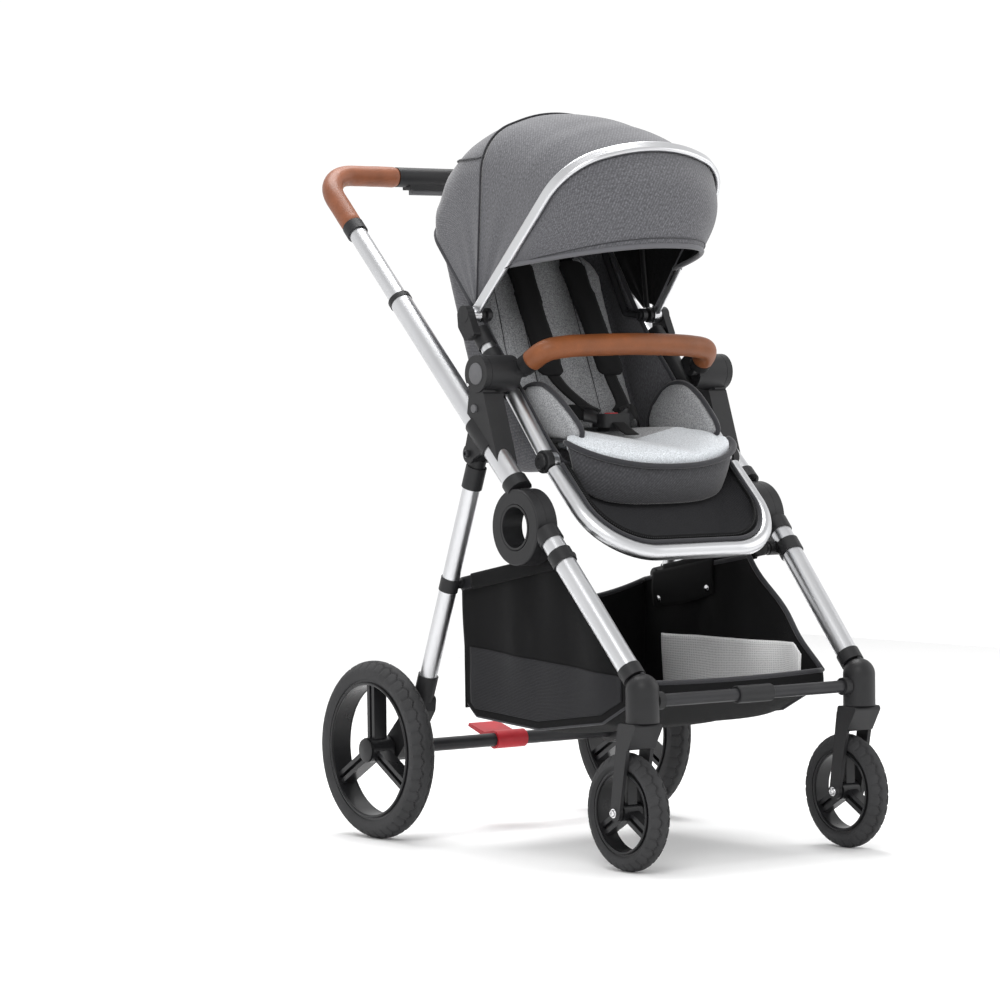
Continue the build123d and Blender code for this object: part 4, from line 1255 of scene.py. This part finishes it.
BUMPER_HALF = [(0, -0.105, 0.788), (0.100, -0.102, 0.786), (0.130, -0.0995, 0.784), (0.154, -0.0955, 0.7805),
               (0.1665, -0.085, 0.7730), (0.172, -0.069, 0.762)]
BUMPER_LINE = [(-x, y, z) for x, y, z in BUMPER_HALF[:0:-1]] + BUMPER_HALF
bumper_leather = sleeve_skin("bumper_leather", curve_points(BUMPER_LINE, 90), 0.0174, tan_leather, "bumper",
                             0.0004)
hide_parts("bumper_bar")
stitch_line([p + Vector((0, 0.0123, -0.0123)) for p in curve_points(BUMPER_LINE[1:-1], 90)], "bumper_stitches",
            "bumper", 0.006)
for side, sign in SIDES:
    end = Vector((sign * 0.172, -0.069, 0.762))
    way = (end - Vector((sign * 0.163, -0.096, 0.780))).normalized()
    ribs = []
    for k in range(6):
        a = k * 0.0024
        ribs += [(0.0150, a), (0.0165, a + 0.0005), (0.0165, a + 0.0015), (0.0150, a + 0.0020)]
    lathe(f"{side}_bumper_collar", [(0.0, -0.001)] + ribs + [(0.0135, 0.0146), (0.0, 0.0146)], end, way,
          black_plastic, "bumper", sides=40)

# ---------------------------------------------------------------- wheels
def tread_tyre(name, centre, radius, bore, width, body, node, lobes):
    """A tyre with a crowned tread, a zigzag groove and shoulder sipes."""
    half = width / 2
    shoulder = radius - 0.013
    wall = [(half - 0.004, bore), (half + 0.0002, bore + 0.45 * (shoulder - bore)), (half, shoulder)]
    tread = [mix(-half, half, k / 22) for k in range(1, 22)]
    section = [(-x, r) for x, r in wall] + [(x, radius - 0.013 * (abs(x) / half) ** 2.3) for x in tread] + wall[::-1]
    turns = lobes * 10
    vertices, faces = [], []
    count = len(section)
    for n in range(turns):
        a = 2 * pi * n / turns
        wave = abs((n % 10) / 5 - 1) * 2 - 1
        for x, r in section:
            cut = 0.0
            if abs(x) < half * 0.96 and r > radius - 0.0135:
                if abs(abs(x) - half * 0.38 - wave * half * 0.10) < half * 0.075:
                    cut = 0.0022
                if abs(x) > half * 0.62 and (n % 10) in (0, 1):
                    cut = 0.0020
            vertices.append(centre + Vector((x, (r - cut) * cos(a), (r - cut) * sin(a))))
    for n in range(turns):
        m = (n + 1) % turns
        for k in range(count):
            j = (k + 1) % count
            faces.append((n * count + k, m * count + k, m * count + j, n * count + j))
    thing = new_piece(name, vertices, faces, [rubber], body)
    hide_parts(node)
    return crisp(thing, 40)


def rim_lip(name, centre, radius, bead, count, body):
    """A rounded lip round the rim."""
    angles = [2 * pi * k / count for k in range(count)]
    ring = [centre + Vector((0, radius * cos(a), radius * sin(a))) for a in angles]
    tube(name, ring, bead, gloss_plastic, body, closed=True, sides=8)


def way_name(way, sign):
    return "in" if way * sign < 0 else "out"


for side, sign in SIDES:
    front, rear = f"{side}_front", f"{side}_rear"
    front_hub, rear_hub = pivot(f"{front}_wheel_spin"), pivot(f"{rear}_wheel_spin")
    tread_tyre(f"{front}_tread", front_hub, 0.089, 0.066, 0.035, f"{front}_wheel", f"{front}_tyre", 30)
    tread_tyre(f"{rear}_tread", rear_hub, 0.143, 0.113, 0.042, f"{rear}_wheel", f"{rear}_tyre", 44)
    for way in (-1, 1):
        end = way_name(way, sign)
        rim_lip(f"{front}_rim_lip_{end}", front_hub + Vector((way * 0.0140, 0, 0)), 0.0605, 0.0022, 72,
                f"{front}_wheel")
        rim_lip(f"{rear}_rim_lip_{end}", rear_hub + Vector((way * 0.0170, 0, 0)), 0.107, 0.0026, 96,
                f"{rear}_wheel")
    lathe(f"{rear}_hub_cap", [(0.0185, 0.0), (0.0185, 0.0012), (0.016, 0.0026), (0.0, 0.0034)],
          rear_hub + Vector((sign * 0.0225, 0, 0)), (sign, 0, 0), black_plastic, f"{rear}_wheel")


# ---------------------------------------------------------------- fasteners
def screw(name, place, way, body, radius, material=bright):
    """A domed socket screw head."""
    profile = [(r * radius, h * radius) for r, h in (
        (1, 0), (1, 0.35), (0.85, 0.62), (0.48, 0.7), (0.44, 0.25), (0, 0.25))]
    return lathe(name, profile, place, way, material, body, sides=20)


for side, sign in SIDES:
    out = (sign, 0, 0)
    screw(f"{side}_adapter_screw", (sign * 0.2473, -0.0075, 0.7270), out, "push_frame", 0.0028)
    screw(f"{side}_leg_bracket_screw", (sign * 0.2465, 0.0, 0.620), out, "push_frame", 0.0062, black_paint)
    screw(f"{side}_swivel_cap_screw", (sign * 0.2139, -0.391, 0.2968), (0, 0, 1), "front_legs", 0.003, black_paint)
    for way in (-1, 1):
        tip = pivot(f"{side}_front_wheel_spin") + Vector((way * 0.0290, 0, 0))
        screw(f"{side}_wheel_bolt_{way_name(way, sign)}", tip, (way, 0, 0), f"{side}_caster", 0.0052)
    lathe(f"{side}_footrest_knob", [(0.0130, 0.0), (0.0130, 0.003), (0.0115, 0.0048), (0.0065, 0.005),
                                    (0.006, 0.0038), (0.0, 0.0038)],
          (sign * 0.1911, FOOT.y, FOOT.z), out, black_plastic, "seat")

# ---------------------------------------------------------------- room, light and camera
def studio():
    """A pale plain floor, an even white world and three soft lamps."""
    floor_size = 3.4
    mesh = bpy.data.meshes.new("floor")
    mesh.from_pydata([(-floor_size, -floor_size, 0), (floor_size, -floor_size, 0), (floor_size, floor_size, 0),
                      (-floor_size, floor_size, 0)], [], [(0, 1, 2, 3)])
    floor = bpy.data.objects.new("floor", mesh)
    bpy.context.scene.collection.objects.link(floor)
    paper = Nodes("studio_paper")
    uneven = paper.noise(paper.coordinates(), 3.0)
    paper.colour(paper.ramp(uneven, [(0.2, (0.97, 0.97, 0.97)), (0.8, (0.99, 0.99, 0.99))]))
    paper.set(Roughness=0.9)
    mesh.materials.append(paper.material)

    world = bpy.data.worlds.new("studio")
    bpy.context.scene.world = world
    world.use_nodes = True
    tree = world.node_tree
    way = tree.nodes.new("ShaderNodeTexCoord")
    split = tree.nodes.new("ShaderNodeSeparateXYZ")
    fade = tree.nodes.new("ShaderNodeValToRGB")
    tree.links.new(way.outputs["Generated"], split.inputs["Vector"])
    tree.links.new(split.outputs["Z"], fade.inputs["Fac"])
    tree.links.new(fade.outputs["Color"], tree.nodes["Background"].inputs["Color"])
    for element, (place, tone) in zip(fade.color_ramp.elements, ((0.22, 1.0), (0.75, 0.70))):
        element.position = place
        element.color = (tone, tone, tone, 1)
    tree.nodes["Background"].inputs["Strength"].default_value = 1.04
    bpy.context.scene.view_settings.view_transform = "Standard"

    def lamp(name, place, aim, size, power):
        data = bpy.data.lights.new(name, "AREA")
        data.shape = "RECTANGLE"
        data.size, data.size_y = size
        data.energy = power
        light = bpy.data.objects.new(name, data)
        light.location = place
        light.rotation_euler = (Vector(aim) - Vector(place)).to_track_quat("-Z", "Y").to_euler()
        bpy.context.scene.collection.objects.link(light)

    lamp("key", (-2.4, -2.6, 3.2), (0, 0, 0.6), (2.0, 2.0), 60)
    lamp("fill", (3.0, -1.6, 1.8), (0, 0, 0.6), (2.0, 2.4), 18)
    lamp("top", (0.3, 1.0, 3.4), (0, 0.1, 0.7), (2.2, 1.8), 95)


def photo_camera():
    """The photograph's view: a long lens, slightly above the wheels, from the front right."""
    target = Vector((0, 0.251, 0.537))
    turn, lift, roll = radians(-36.2), radians(1.7), -0.013
    back = Vector((sin(turn) * cos(lift), -cos(turn) * cos(lift), sin(lift)))
    data = bpy.data.cameras.new("camera")
    data.lens = 130.7
    data.sensor_width = 36.0
    camera = bpy.data.objects.new("camera", data)
    aim = back.to_track_quat("Z", "Y").to_matrix().to_4x4()
    camera.matrix_world = Matrix.Translation(target + back * 6.0) @ aim @ Matrix.Rotation(roll, 4, "Z")
    bpy.context.scene.collection.objects.link(camera)
    bpy.context.scene.camera = camera


studio()
photo_camera()
bpy.context.view_layer.update()
